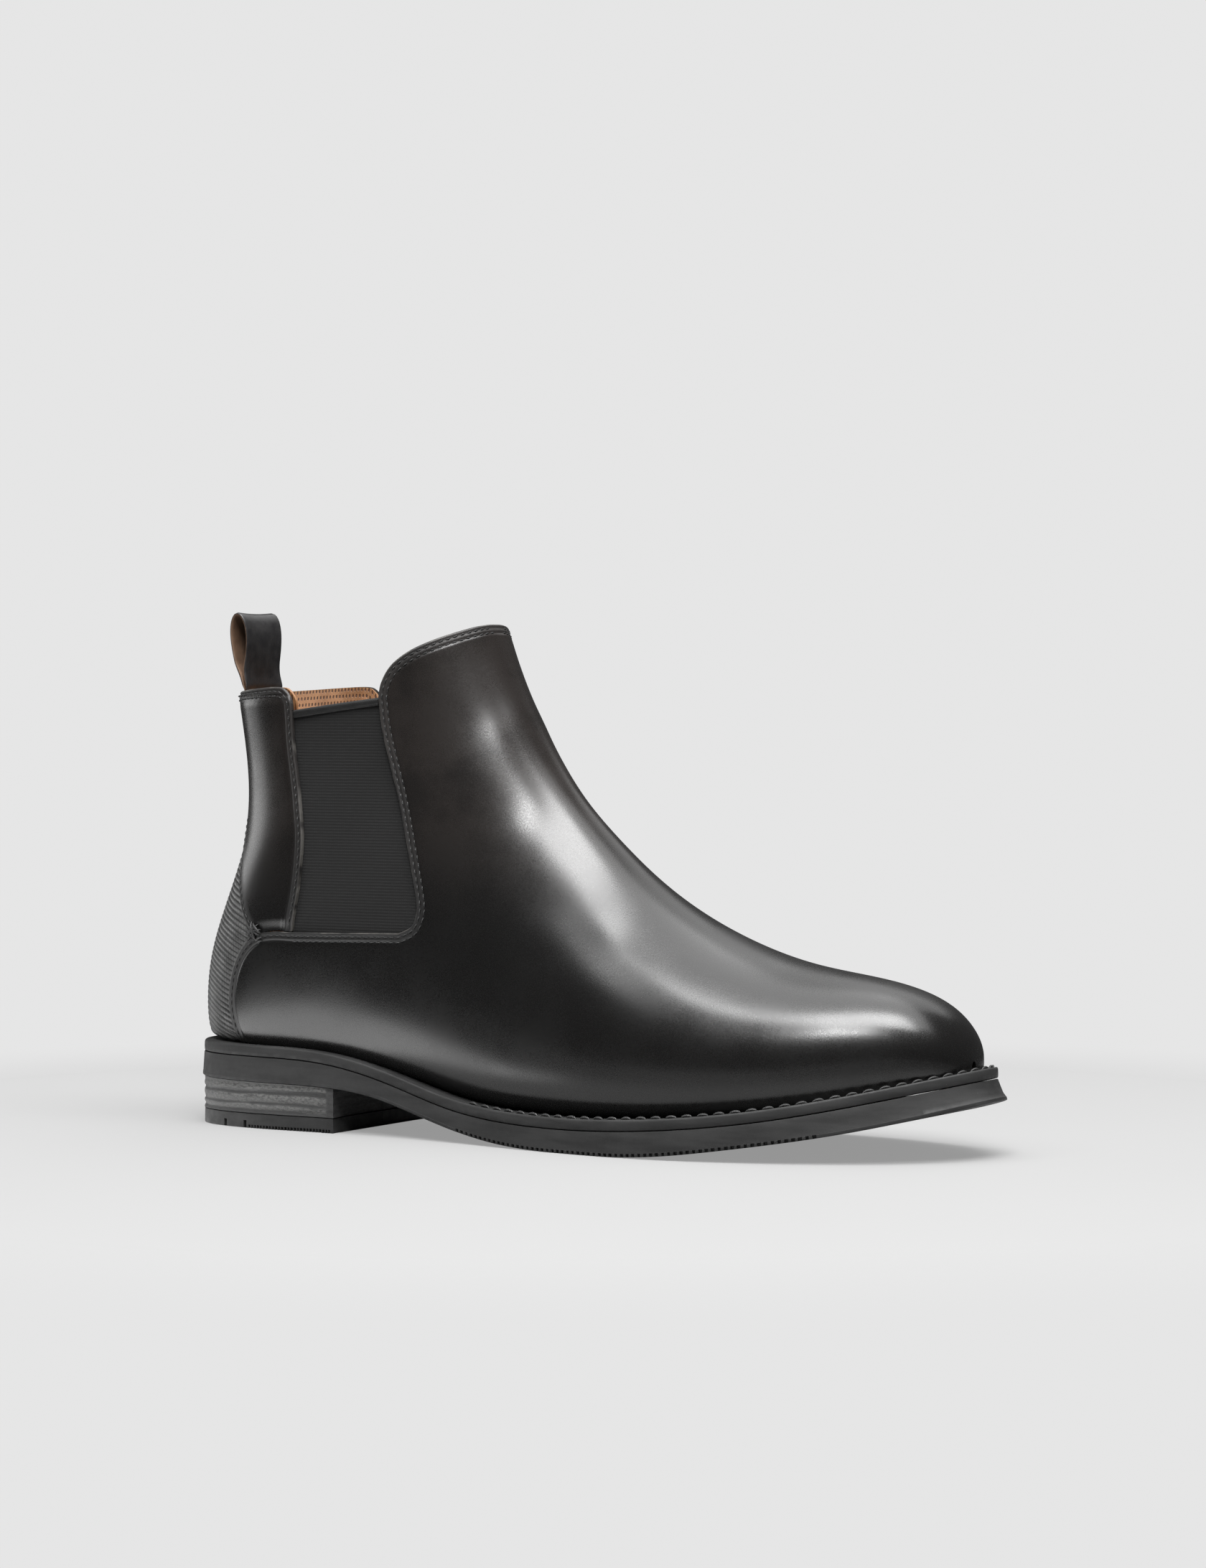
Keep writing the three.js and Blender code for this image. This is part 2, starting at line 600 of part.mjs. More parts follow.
// Cork fills the space that the upper's edges leave on the sole, and beds the shank.
function corkFiller() {
  const body = soleSlab(above(soleTop, GAP), above(lastBottom, LINING_END), MARGIN_INSET + 2 * GAP);
  return body.subtract(shankBody(3 * GAP));
}

const overLast = lastSolid(-GAP);

function welt() {
  const inner = soleSlab(above(weltTop, -20), above(weltTop, 12), WELT_INSET);
  return soleSlab(above(weltTop, -WELT), weltTop, 0.5, 0).subtract(overLast).subtract(inner);
}

// A closed thread that lies on the welt, from the waist round the toe to the other waist.
function weltStitching() {
  const points = [];
  const steps = 28;
  for (let i = 0; i <= steps; i += 1) {
    const point = edgePoint(STITCH_START + ((1 - 2 * STITCH_START) * i) / steps, STITCH_INSET);
    points.push(point.setZ(weltTop(point.x) + GAP + 1.5 * STITCH_RADIUS));
  }
  const section = new THREE.Shape().absarc(0, 0, STITCH_RADIUS, 0, 2 * Math.PI);
  return new THREE.ExtrudeGeometry(section, {
    extrudePath: new THREE.CatmullRomCurve3(points), steps: 48, curveSegments: 2, bevelEnabled: false,
  });
}

// An upright cylinder through the heel, for a nail or the hole around it.
function nail([x, y], clearance) {
  const length = NAIL_TOP - NAIL_FOOT + 2 * clearance;
  const geometry = new THREE.CylinderGeometry(NAIL_RADIUS + clearance, NAIL_RADIUS + clearance, length, 10);
  geometry.rotateX(Math.PI / 2);
  geometry.translate(x, y, (NAIL_TOP + NAIL_FOOT) / 2);
  return toSolid(geometry);
}

const nailHoles = NAILS.map((place) => nail(place, GAP)).reduce((all, hole) => all.add(hole));

function outsole() {
  const underside = (x) => Math.max(soleUnderside(x), 0);
  return soleSlab(underside, soleTop, 0, -EDGE_FLARE, TOE_LEAN).subtract(overLast).subtract(nailHoles);
}

// What lies behind the heel's breast, which is slightly hollow.
function breastCutter() {
  const breast = [[HEEL_LENGTH, -WIDE], [HEEL_LENGTH, -34], [HEEL_LENGTH - 1.6, 0], [HEEL_LENGTH, 34]];
  const behind = [[HEEL_LENGTH, WIDE], [BEHIND, WIDE]];
  return planCutter(outline([[BEHIND, -WIDE], [0, -WIDE]], breast, behind), -5, 40);
}

function heelBlock() {
  const top = (x) => Math.max(soleUnderside(x) - GAP, LIFT + 3);
  return soleSlab(level(LIFT + GAP), top, 0.3).intersect(breastCutter()).subtract(nailHoles);
}

const topLift = () => soleSlab(level(0), level(LIFT), 0.3).intersect(breastCutter());

// ---------------------------------------------------------------- the boot

const boot = new THREE.Group();

function add(name, body, finish) {
  const geometry = body instanceof THREE.BufferGeometry ? body : toGeometry(body);
  const mesh = new THREE.Mesh(geometry, new THREE.MeshStandardMaterial(finish));
  mesh.name = name;
  boot.add(mesh);
}

add('vamp', vamp(), BLACK_LEATHER);
add('heel_cover', heelCover(), BLACK_LEATHER);
Object.keys(SIDES).forEach((side) => {
  add(`quarter_${side}`, quarter(side), BLACK_LEATHER);
  add(`gore_${side}`, gore(side), ELASTIC);
  add(`gore_binding_${side}`, goreBinding(side), MATT_BLACK);
  add(`topline_tape_${side}`, rearTape(side), MATT_BLACK);
  add(`bartack_${side}`, bartack(side), THREAD);
});
add('topline_tape_front', frontTape(), MATT_BLACK);
add('vamp_lining', lining('vamp'), TAN_LEATHER);
add('quarter_lining', lining('quarter'), TAN_LEATHER);
add('toe_puff', toePuff(), BOARD);
add('heel_stiffener', heelStiffener(), BOARD);
add('pull_loop', pullLoop(), MATT_BLACK);
add('pull_loop_tails', loopAnchor(), MATT_BLACK);
add('insole_board', insoleBoard(), BOARD);
add('heel_cushion', heelCushion(), FOAM);
add('sock_liner', sockLiner(), TAN_LEATHER);
add('shank', shankBody(0), STEEL);
add('cork_filler', corkFiller(), CORK);
add('welt', welt(), RUBBER);
add('welt_stitching', weltStitching(), THREAD);
add('outsole', outsole(), RUBBER);
add('heel_block', heelBlock(), STACK);
add('top_lift', topLift(), RUBBER);
NAILS.forEach((place, i) => add(`heel_nail_${i + 1}`, nail(place, 0), STEEL));

// The frame's origin is under the middle of the boot's box.
const box = new THREE.Box3().setFromObject(boot);
const middle = box.getCenter(new THREE.Vector3());
boot.position.set(-middle.x, -middle.y, -box.min.z);

export default boot;
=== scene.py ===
import math

import bmesh
import bpy
import numpy as np
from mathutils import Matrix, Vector
from mathutils.bvhtree import BVHTree


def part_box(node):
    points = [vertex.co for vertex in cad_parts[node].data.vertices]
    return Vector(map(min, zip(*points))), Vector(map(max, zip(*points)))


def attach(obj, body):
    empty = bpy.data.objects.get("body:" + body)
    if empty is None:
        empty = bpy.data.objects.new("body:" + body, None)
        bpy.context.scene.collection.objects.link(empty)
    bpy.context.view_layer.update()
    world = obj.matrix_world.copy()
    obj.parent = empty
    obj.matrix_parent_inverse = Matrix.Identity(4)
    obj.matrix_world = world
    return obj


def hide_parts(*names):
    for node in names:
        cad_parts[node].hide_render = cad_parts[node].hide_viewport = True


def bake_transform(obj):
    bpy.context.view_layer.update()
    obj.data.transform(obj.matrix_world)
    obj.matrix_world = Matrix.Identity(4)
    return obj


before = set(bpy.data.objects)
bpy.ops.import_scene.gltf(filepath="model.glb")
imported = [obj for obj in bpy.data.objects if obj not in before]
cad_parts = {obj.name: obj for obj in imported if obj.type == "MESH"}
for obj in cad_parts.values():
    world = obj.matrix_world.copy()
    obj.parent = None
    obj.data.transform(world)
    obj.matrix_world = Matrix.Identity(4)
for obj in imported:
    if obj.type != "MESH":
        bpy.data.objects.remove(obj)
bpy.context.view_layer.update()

# A black chelsea boot, right foot. Lengths below are millimetres in the boot's own frame, with
# x from the back of the heel to the toe, y to the inner (medial) side and z up from the floor.
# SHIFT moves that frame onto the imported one, which the heel's first nail ties it to.
NAIL_PLACE = (14.0, -14.0)
nail_low, nail_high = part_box("heel_nail_1")
SHIFT = np.array([
    (nail_low.x + nail_high.x) / 2 - NAIL_PLACE[0] / 1000,
    (nail_low.y + nail_high.y) / 2 - NAIL_PLACE[1] / 1000,
    0.0,
])

LEATHER = 1.6  # thickness of the vamp, quarters and heel cover
MIDDLE_TOP = 1.9  # depths of the layers under the leather
MIDDLE_END = 3.1
LINING_TOP = 3.4
LINING_END = 4.4
LINING_DROP = 0.4  # how far the lining's top edge lies under the topline
HALF_GAP = 0.15  # half the gap between two pieces that meet
WELT = 3.7
LIFT = 5.3
LOOP_WIDTH = 23.0
GORE_HEM = 2.8
GORE_UNDERLAP = 5.0
HOLE_PITCH, HOLE_ROW, HOLE_ROWS, HOLE_RADIUS = 2.7, 2.3, 3, 0.6  # the lining's punched holes

# Sections of the last, from the toe tip round the heel to above the topline: x and z of the
# ridge and of the base, lateral and medial half width, y of the middle, height of the widest
# point as a share, and how square the lower and upper halves are.
LAST_SECTIONS = [
    (299.0, 31.0, 299.0, 26.0, 0.0, 0.0, 6.0, 0.5, 2.8, 2.2),
    (296.8, 38.5, 296.8, 22.0, 12.0, 12.0, 6.0, 0.54, 3.0, 2.2),
    (290.2, 47.5, 290.2, 19.5, 21.0, 21.0, 6.0, 0.49, 3.2, 2.2),
    (278.0, 54.5, 278.0, 16.0, 29.8, 30.0, 5.5, 0.445, 3.4, 2.2),
    (260.0, 59.0, 260.0, 12.0, 38.3, 38.5, 4.5, 0.405, 3.5, 2.15),
    (234.0, 63.5, 232.0, 8.5, 45.5, 46.0, 3.0, 0.36, 3.6, 2.1),
    (207.0, 73.0, 200.0, 6.0, 48.0, 48.5, 1.0, 0.335, 3.6, 2.05),
    (185.0, 86.0, 166.0, 5.0, 45.0, 44.5, 0.0, 0.325, 3.4, 2.0),
    (167.0, 101.0, 129.0, 6.5, 40.0, 38.5, 0.0, 0.34, 3.2, 2.0),
    (152.5, 116.0, 92.0, 13.0, 36.5, 35.0, 0.0, 0.38, 3.0, 2.0),
    (142.5, 128.5, 56.0, 15.0, 34.5, 34.0, 0.0, 0.455, 3.0, 2.1),
    (136.0, 138.5, 24.0, 15.0, 34.0, 33.5, 0.0, 0.515, 2.9, 2.2),
    (132.0, 145.5, 3.5, 24.0, 33.5, 33.5, 0.0, 0.515, 2.6, 2.3),
    (128.8, 151.5, -1.2, 41.0, 33.0, 33.0, 0.0, 0.5, 2.4, 2.3),
    (126.0, 157.0, 0.5, 58.0, 32.5, 32.5, 0.0, 0.5, 2.3, 2.3),
    (123.2, 163.0, 7.5, 77.0, 32.0, 32.0, 0.0, 0.5, 2.3, 2.3),
    (120.6, 169.0, 15.0, 98.0, 31.5, 31.5, 0.0, 0.5, 2.3, 2.3),
    (118.2, 175.0, 17.3, 118.0, 31.5, 31.5, 0.0, 0.5, 2.3, 2.3),
    (115.8, 181.0, 15.5, 138.0, 32.0, 32.0, 0.0, 0.5, 2.3, 2.3),
    (113.0, 188.0, 12.0, 160.0, 33.0, 33.0, 0.0, 0.5, 2.3, 2.3),
]
FEATHER_ROUND = 3.0

# Side view, in x and z: the gore's outline, the vamp's wing, the heel cover's tongue, the toplines.
GORE_FRONT = [(86.4, 153), (88.2, 141), (92, 127.5), (96.3, 114), (100.6, 98), (103.9, 84.5)]
GORE_CORNER = [(103.9, 84.5), (104.6, 79), (102.8, 73.8), (97.5, 71.2)]
GORE_BOTTOM = [(97.5, 71.2), (75, 70.7), (51.5, 70.2)]
GORE_REAR = [(51.5, 70.2), (54.8, 86), (56, 103), (54, 118.5), (51.2, 135), (50.5, 148.4)]
VAMP_WING = [(51.5, 70.2), (43, 70.2), (35, 68.6), (28, 63.4), (23.2, 55.5), (20.9, 46), (21.4, 37), (24, 29)]
COVER_TONGUE = [(34, 69.4), (30.5, 72.6), (26.8, 78.6), (23.6, 88.5), (21.4, 101), (18.8, 111), (15.5, 114)]
VAMP_TOP = [(86.4, 153), (87.5, 158.3), (90.8, 164), (96.8, 169), (104.4, 173), (112.8, 176.8), (121, 181.2)]
QUARTER_TOP = [(50.5, 148.4), (50, 152), (47.6, 155.2), (43.5, 156.5), (30, 155.8), (12, 154.2)]
LINING_SEAM = [(96, -10), (104, 60), (109, 120), (103, 200)]
BACK_EDGE = 153.2  # height of the topline at the back
BELOW, BEHIND, AHEAD = -20, -20, 340

# Plan view, in x and y: the sole's edge from the back of the heel, lateral side first.
SOLE_EDGE = [
    (0, 0), (3, -16), (14, -27.5), (36, -33), (66, -34), (96, -35.5), (125, -40), (155, -46.5),
    (185, -51), (210, -51.5), (235, -47.5), (258, -40), (280, -28), (296, -13), (304.5, 4.5),
    (300.5, 21), (285, 35.5), (258, 47), (232, 52), (208, 53), (182, 49), (152, 41), (122, 35.5),
    (94, 33), (66, 33), (36, 32.5), (14, 27.5), (3, 16),
]
# Heights along x.
WELT_TOP = [
    (-4, 29.8), (30, 29.4), (70, 27.5), (95, 22), (120, 15.5), (150, 12.2), (205, 13.2),
    (247, 18), (275, 23.5), (305, 30.5),
]
SOLE_UNDERSIDE = [
    (0, 17.2), (40, 16.6), (70, 15.8), (85, 14), (105, 9), (123, 4.4), (145, 1), (165, 0), (190, 0),
    (207, 0.9), (231, 3.8), (264, 9.2), (286, 14.2), (305, 19.4),
]
LAST_BOTTOM = [
    (5, 30.3), (30, 28), (60, 26), (94, 19.5), (130, 11.5), (166, 9), (200, 10), (232, 12.5),
    (260, 16), (278, 20), (297, 26),
]


# ---------------------------------------------------------------- curves and surfaces

def natural_spline(knots, rows):
    """A natural cubic spline through rows of numbers, as a function of an array of knot values."""
    knots = np.asarray(knots, float)
    rows = np.asarray(rows, float)
    step = np.diff(knots)
    system = np.eye(len(knots))
    right = np.zeros_like(rows)
    for i in range(1, len(knots) - 1):
        system[i, i - 1:i + 2] = step[i - 1], 2 * (step[i - 1] + step[i]), step[i]
        right[i] = 6 * ((rows[i + 1] - rows[i]) / step[i] - (rows[i] - rows[i - 1]) / step[i - 1])
    bend = np.linalg.solve(system, right)

    def at(values):
        values = np.asarray(values, float)
        i = np.clip(np.searchsorted(knots, values) - 1, 0, len(step) - 1)
        span = step[i][..., None]
        a = (knots[i + 1] - values)[..., None] / span
        b = 1 - a
        curve = (a ** 3 - a) * bend[i] + (b ** 3 - b) * bend[i + 1]
        return a * rows[i] + b * rows[i + 1] + curve * span ** 2 / 6

    return at


def height_along(points):
    """A height along x, from points in x and z."""
    spline = natural_spline([p[0] for p in points], [[p[1]] for p in points])
    return lambda x: spline(x)[..., 0]


welt_top = height_along(WELT_TOP)
last_bottom = height_along(LAST_BOTTOM)
sole_spline = height_along(SOLE_UNDERSIDE)


def sole_top(x):
    return welt_top(x) - WELT - 2 * HALF_GAP


def underside(x):
    return np.maximum(sole_spline(x), 0)


def smoothstep(value, low, high):
    share = np.clip((value - low) / (high - low), 0, 1)
    return share * share * (3 - 2 * share)


def bump_at(value, centre, width):
    return np.exp(-((value - centre) / width) ** 2)


def last_sections():
    rows = np.array(LAST_SECTIONS)
    ridge = np.hypot(*np.diff(rows[:, 0:2], axis=0).T)
    base = np.hypot(*np.diff(rows[:, 2:4], axis=0).T)
    knots = np.concatenate([[0], np.cumsum(np.sqrt((ridge + base) / 2))])
    return natural_spline(knots / knots[-1], rows)


last_section = last_sections()


def last_point(params):
    """Points on the last. The second parameter is 0 at the base and pi at the ridge."""
    u, v = params.T
    (ridge_x, ridge_z, base_x, base_z, lateral, medial, middle, widest, lower,
     upper) = last_section(u).T
    up = -np.cos(v)
    out = np.sin(v)
    square = 2 / np.where(up < 0, lower, upper)
    reach = np.abs(up) ** square
    height = np.where(up < 0, widest * (1 - reach), widest + (1 - widest) * reach)
    width = np.where(out > 0, lateral, medial)
    x = base_x + (ridge_x - base_x) * height
    y = middle - np.sign(out) * width * np.abs(out) ** square
    z = base_z + (ridge_z - base_z) * height
    bottom = last_bottom(x)
    return np.stack([x, y, (z + bottom + np.hypot(z - bottom, FEATHER_ROUND)) / 2], axis=1)


def catmull_rom(a, b, c, d, t):
    """The uniform Catmull-Rom curve from b to c."""
    start, end = (c - a) / 2, (d - b) / 2
    cubic, square = 2 * b - 2 * c + start + end, 3 * c - 3 * b - 2 * start - end
    return cubic * t ** 3 + square * t ** 2 + start * t + b


def smooth_run(points, steps=8):
    """A Catmull-Rom curve through the points, as a polyline."""
    points = np.asarray(points, float)
    padded = np.concatenate([points[:1], points, points[-1:]])
    t = (np.arange(steps) / steps)[:, None]
    parts = [catmull_rom(*four, t) for four in zip(padded[:-3], padded[1:-2], padded[2:-1], padded[3:])]
    return np.concatenate(parts + [points[-1:]])


def lengths_along(points):
    """How far along a polyline each of its points lies."""
    return np.concatenate([[0], np.cumsum(np.linalg.norm(np.diff(points, axis=0), axis=1))])


def read_along(at, along, rows):
    """The rows that belong to lengths along a polyline, read at other lengths."""
    return np.stack([np.interp(at, along, column) for column in rows.T], axis=1)


def resampled(points, pitch):
    """A polyline with points at an even pitch."""
    along = lengths_along(points)
    return read_along(np.arange(0, along[-1], pitch), along, points)


def divided(points, number):
    """A polyline with a number of equal steps."""
    along = lengths_along(points)
    return read_along(np.linspace(0, along[-1], number + 1), along, points)


def shifted(points, distance):
    """A polyline moved sideways in its own plane, to the left of its direction."""
    points = np.asarray(points, float)
    after = np.concatenate([points[1:], points[-1:]])
    before = np.concatenate([points[:1], points[:-1]])
    along = after - before
    along = along / np.linalg.norm(along, axis=1)[:, None]
    return points + np.stack([-along[:, 1], along[:, 0]], axis=1) * distance


def outline(*runs):
    """A closed outline of smooth runs."""
    return np.concatenate([smooth_run(run) for run in runs])


def to_polyline(points, line, closed=False):
    """The distance from points to a line in side view, and the direction away from it."""
    starts = line if closed else line[:-1]
    ends = np.roll(line, -1, axis=0) if closed else line[1:]
    distance = np.full(len(points), np.inf)
    away = np.zeros((len(points), 2))
    for start, end in zip(starts, ends):
        span = end - start
        size = span @ span
        if size < 1e-9:
            continue
        share = np.clip((points - start) @ span / size, 0, 1)
        offset = points - start - share[:, None] * span
        length = np.hypot(offset[:, 0], offset[:, 1])
        nearer = length < distance
        distance[nearer] = length[nearer]
        away[nearer] = offset[nearer]
    return distance, away / np.maximum(distance, 1e-6)[:, None]


def inside_outline(points, line):
    inside = np.zeros(len(points), bool)
    for (ax, az), (bx, bz) in zip(line, np.roll(line, -1, axis=0)):
        if az == bz:
            continue
        between = (az > points[:, 1]) != (bz > points[:, 1])
        crossing = ax + (points[:, 1] - az) * (bx - ax) / (bz - az)
        inside ^= between & (points[:, 0] < crossing)
    return inside


CHART_STEP = 3.0
CHART_X = np.arange(-33, 345, CHART_STEP)
CHART_Z = np.arange(-33, 204, CHART_STEP)
chart_places = np.stack(np.meshgrid(CHART_X, CHART_Z, indexing="ij"), axis=-1).reshape(-1, 2)
charts = {}


def charted(points, line, closed):
    """Distance to a side-view line, read between the points of a coarse chart made once for it."""
    key = (line.tobytes(), closed)
    if key not in charts:
        distance, _ = to_polyline(chart_places, line, closed)
        if closed:
            distance = np.where(inside_outline(chart_places, line), distance, -distance)
        charts[key] = distance.reshape(len(CHART_X), len(CHART_Z))
    chart = charts[key]
    at = (points[:, [0, 2]] - (CHART_X[0], CHART_Z[0])) / CHART_STEP
    at = np.clip(at, 0, np.array(chart.shape) - 1.001)
    i, j = at.astype(int).T
    a, b = (at - np.floor(at)).T
    return (
        (1 - a) * (1 - b) * chart[i, j] + a * (1 - b) * chart[i + 1, j]
        + (1 - a) * b * chart[i, j + 1] + a * b * chart[i + 1, j + 1]
    )


def signed_distance(points, line):
    """Distance in side view to a closed outline, above zero inside."""
    value = charted(points, line, True)
    near = np.abs(value) < 2 * CHART_STEP
    places = points[near][:, [0, 2]]
    distance, _ = to_polyline(places, line, closed=True)
    value[near] = np.where(inside_outline(places, line), distance, -distance)
    return value


def surface_distance(points, normals, line):
    """Distance to a side-view line, measured along the surface instead of in the view."""
    value = charted(points, line, False)
    near = value < 4 * CHART_STEP
    distance, away = to_polyline(points[near][:, [0, 2]], line)
    facing = away[:, 0] * normals[near, 0] + away[:, 1] * normals[near, 2]
    value[near] = distance / np.sqrt(np.maximum(1 - facing ** 2, 0.09))
    return value


# ---------------------------------------------------------------- triangle meshes

def grid(us, vs):
    """Parameters on a grid and its triangles."""
    u, v = np.meshgrid(us, vs, indexing="ij")
    params = np.stack([u.ravel(), v.ravel()], axis=1)
    corner = np.arange(len(us) * len(vs)).reshape(len(us), len(vs))
    a, b, c, d = corner[:-1, :-1], corner[1:, :-1], corner[1:, 1:], corner[:-1, 1:]
    triangles = np.concatenate([
        np.stack([a, b, c], axis=-1).reshape(-1, 3),
        np.stack([a, c, d], axis=-1).reshape(-1, 3),
    ])
    return params, triangles


def edges_of(triangles, count):
    """The distinct edges, and for each triangle the numbers of its three edges."""
    pairs = np.sort(triangles[:, [0, 1, 1, 2, 2, 0]].reshape(-1, 2), axis=1)
    keys, which = np.unique(pairs[:, 0].astype(np.int64) * count + pairs[:, 1], return_inverse=True)
    return np.stack([keys // count, keys % count], axis=1), which.reshape(-1, 3)


def refine(params, triangles, embed, limit, rounds=7):
    """Halves every edge that is longer than the limit where it lies."""
    for _ in range(rounds):
        points = embed(params)
        edges, which = edges_of(triangles, len(params))
        ends = points[edges]
        long = np.linalg.norm(ends[:, 0] - ends[:, 1], axis=1) > limit(ends.mean(axis=1))
        if not long.any():
            break
        fresh = np.full(len(edges), -1)
        fresh[long] = len(params) + np.arange(long.sum())
        params = np.concatenate([params, params[edges[long]].mean(axis=1)])
        middle = fresh[which]
        code = (middle >= 0) @ np.array([1, 2, 4])
        parts = [triangles[code == 0]]
        for turn in range(3):
            corners = np.roll(triangles, -turn, axis=1)
            halves = np.roll(middle, -turn, axis=1)
            one = code == 1 << turn
            (a, b, c), ab = corners[one].T, halves[one, 0]
            parts += [np.stack(t, axis=1) for t in [(a, ab, c), (ab, b, c)]]
            two = code == 1 << turn | 1 << (turn + 1) % 3
            (a, b, c), ab, bc = corners[two].T, halves[two, 0], halves[two, 1]
            parts += [np.stack(t, axis=1) for t in [(ab, b, bc), (a, ab, bc), (a, bc, c)]]
        (a, b, c), (ab, bc, ca) = triangles[code == 7].T, middle[code == 7].T
        parts += [np.stack(t, axis=1) for t in [(a, ab, ca), (ab, b, bc), (ca, bc, c), (ab, bc, ca)]]
        triangles = np.concatenate(parts)
    return params, triangles


def clip(params, triangles, value):
    """Keeps the part of a mesh where the value at its corners is above zero."""
    edges, which = edges_of(triangles, len(params))
    ends = value[edges]
    crossed = (ends[:, 0] > 0) != (ends[:, 1] > 0)
    share = (ends[crossed, 0] / (ends[crossed, 0] - ends[crossed, 1]))[:, None]
    fresh = np.full(len(edges), -1)
    fresh[crossed] = len(params) + np.arange(crossed.sum())
    cut = params[edges[crossed, 0]] * (1 - share) + params[edges[crossed, 1]] * share
    params = np.concatenate([params, cut])
    middle = fresh[which]
    inside = (value > 0)[triangles]
    count = inside.sum(axis=1)
    parts = [triangles[count == 3]]
    for turn in range(3):
        corners = np.roll(triangles, -turn, axis=1)
        cuts = np.roll(middle, -turn, axis=1)
        alone = np.roll(inside, -turn, axis=1)[:, 0]
        tip = (count == 1) & alone
        parts.append(np.stack([corners[tip, 0], cuts[tip, 0], cuts[tip, 2]], axis=1))
        stump = (count == 2) & ~alone
        ab, b, c, ca = cuts[stump, 0], corners[stump, 1], corners[stump, 2], cuts[stump, 2]
        parts += [np.stack([ab, b, c], axis=1), np.stack([ab, c, ca], axis=1)]
    triangles = np.concatenate(parts)
    used, triangles = np.unique(triangles, return_inverse=True)
    return params[used], triangles.reshape(-1, 3)


def merged(points, triangles, distance=2e-3):
    """The same mesh with corners at one place joined."""
    keys = np.round(points / distance).astype(np.int64)
    _, first, which = np.unique(keys, axis=0, return_index=True, return_inverse=True)
    triangles = which.reshape(-1)[triangles]
    sound = (triangles != np.roll(triangles, -1, axis=1)).all(axis=1)
    return first, triangles[sound]


def vertex_normals(points, triangles):
    corners = points[triangles]
    face = np.cross(corners[:, 1] - corners[:, 0], corners[:, 2] - corners[:, 0])
    normals = np.zeros_like(points)
    for corner in range(3):
        np.add.at(normals, triangles[:, corner], face)
    return normals / np.maximum(np.linalg.norm(normals, axis=1), 1e-12)[:, None]


def closed_shell(outer, inner, triangles):
    """A closed body from an outer skin, an inner skin and a rim between them."""
    count = len(outer)
    forward = triangles[:, [0, 1, 1, 2, 2, 0]].reshape(-1, 2)
    keys = np.sort(forward, axis=1) @ np.array([count, 1])
    _, first, times = np.unique(keys, return_index=True, return_counts=True)
    rim = forward[first[times == 1]]
    a, b = rim[:, 0], rim[:, 1]
    faces = np.concatenate([
        triangles,
        triangles[:, ::-1] + count,
        np.stack([b, a, a + count], axis=1),
        np.stack([b, a + count, b + count], axis=1),
    ])
    return np.concatenate([outer, inner]), faces


# ---------------------------------------------------------------- Blender objects

def metres(points):
    return np.asarray(points, float) / 1000 + SHIFT


def turn_outwards(mesh):
    """Turns a closed mesh's faces outwards."""
    work = bmesh.new()
    work.from_mesh(mesh)
    bmesh.ops.recalc_face_normals(work, faces=work.faces)
    work.to_mesh(mesh)
    work.free()


def make(name, points, faces, slot, nodes=(), body="root", turn=True, sharp=None, attributes=None):
    """A piece from points in the boot's frame, with its slot and the CAD nodes that it stands for."""
    mesh = bpy.data.meshes.new(name)
    mesh.from_pydata(metres(points).tolist(), [], [list(map(int, face)) for face in faces])
    mesh.polygons.foreach_set("use_smooth", [True] * len(mesh.polygons))
    for key, values in (attributes or {}).items():
        store = mesh.attributes.new(key, "FLOAT", "POINT")
        store.data.foreach_set("value", np.asarray(values, np.float32))
    mesh.materials.append(SLOTS[slot])
    mesh.validate()
    piece = bpy.data.objects.new(name, mesh)
    bpy.context.scene.collection.objects.link(piece)
    if body:
        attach(piece, body)
    if turn:
        turn_outwards(mesh)
    if sharp:
        mesh.set_sharp_from_angle(angle=math.radians(sharp))
    if nodes:
        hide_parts(*nodes)
    return piece


# ---------------------------------------------------------------- materials

def rgba(colour):
    """A colour with its alpha. One number is a grey."""
    return (*np.broadcast_to(colour, 3).tolist(), 1)


RIB_PITCH = 1.95  # of the heel cover's embossed ribs, one above another
RIB_FALL = 0.42  # how much a rib falls for each step towards the toe


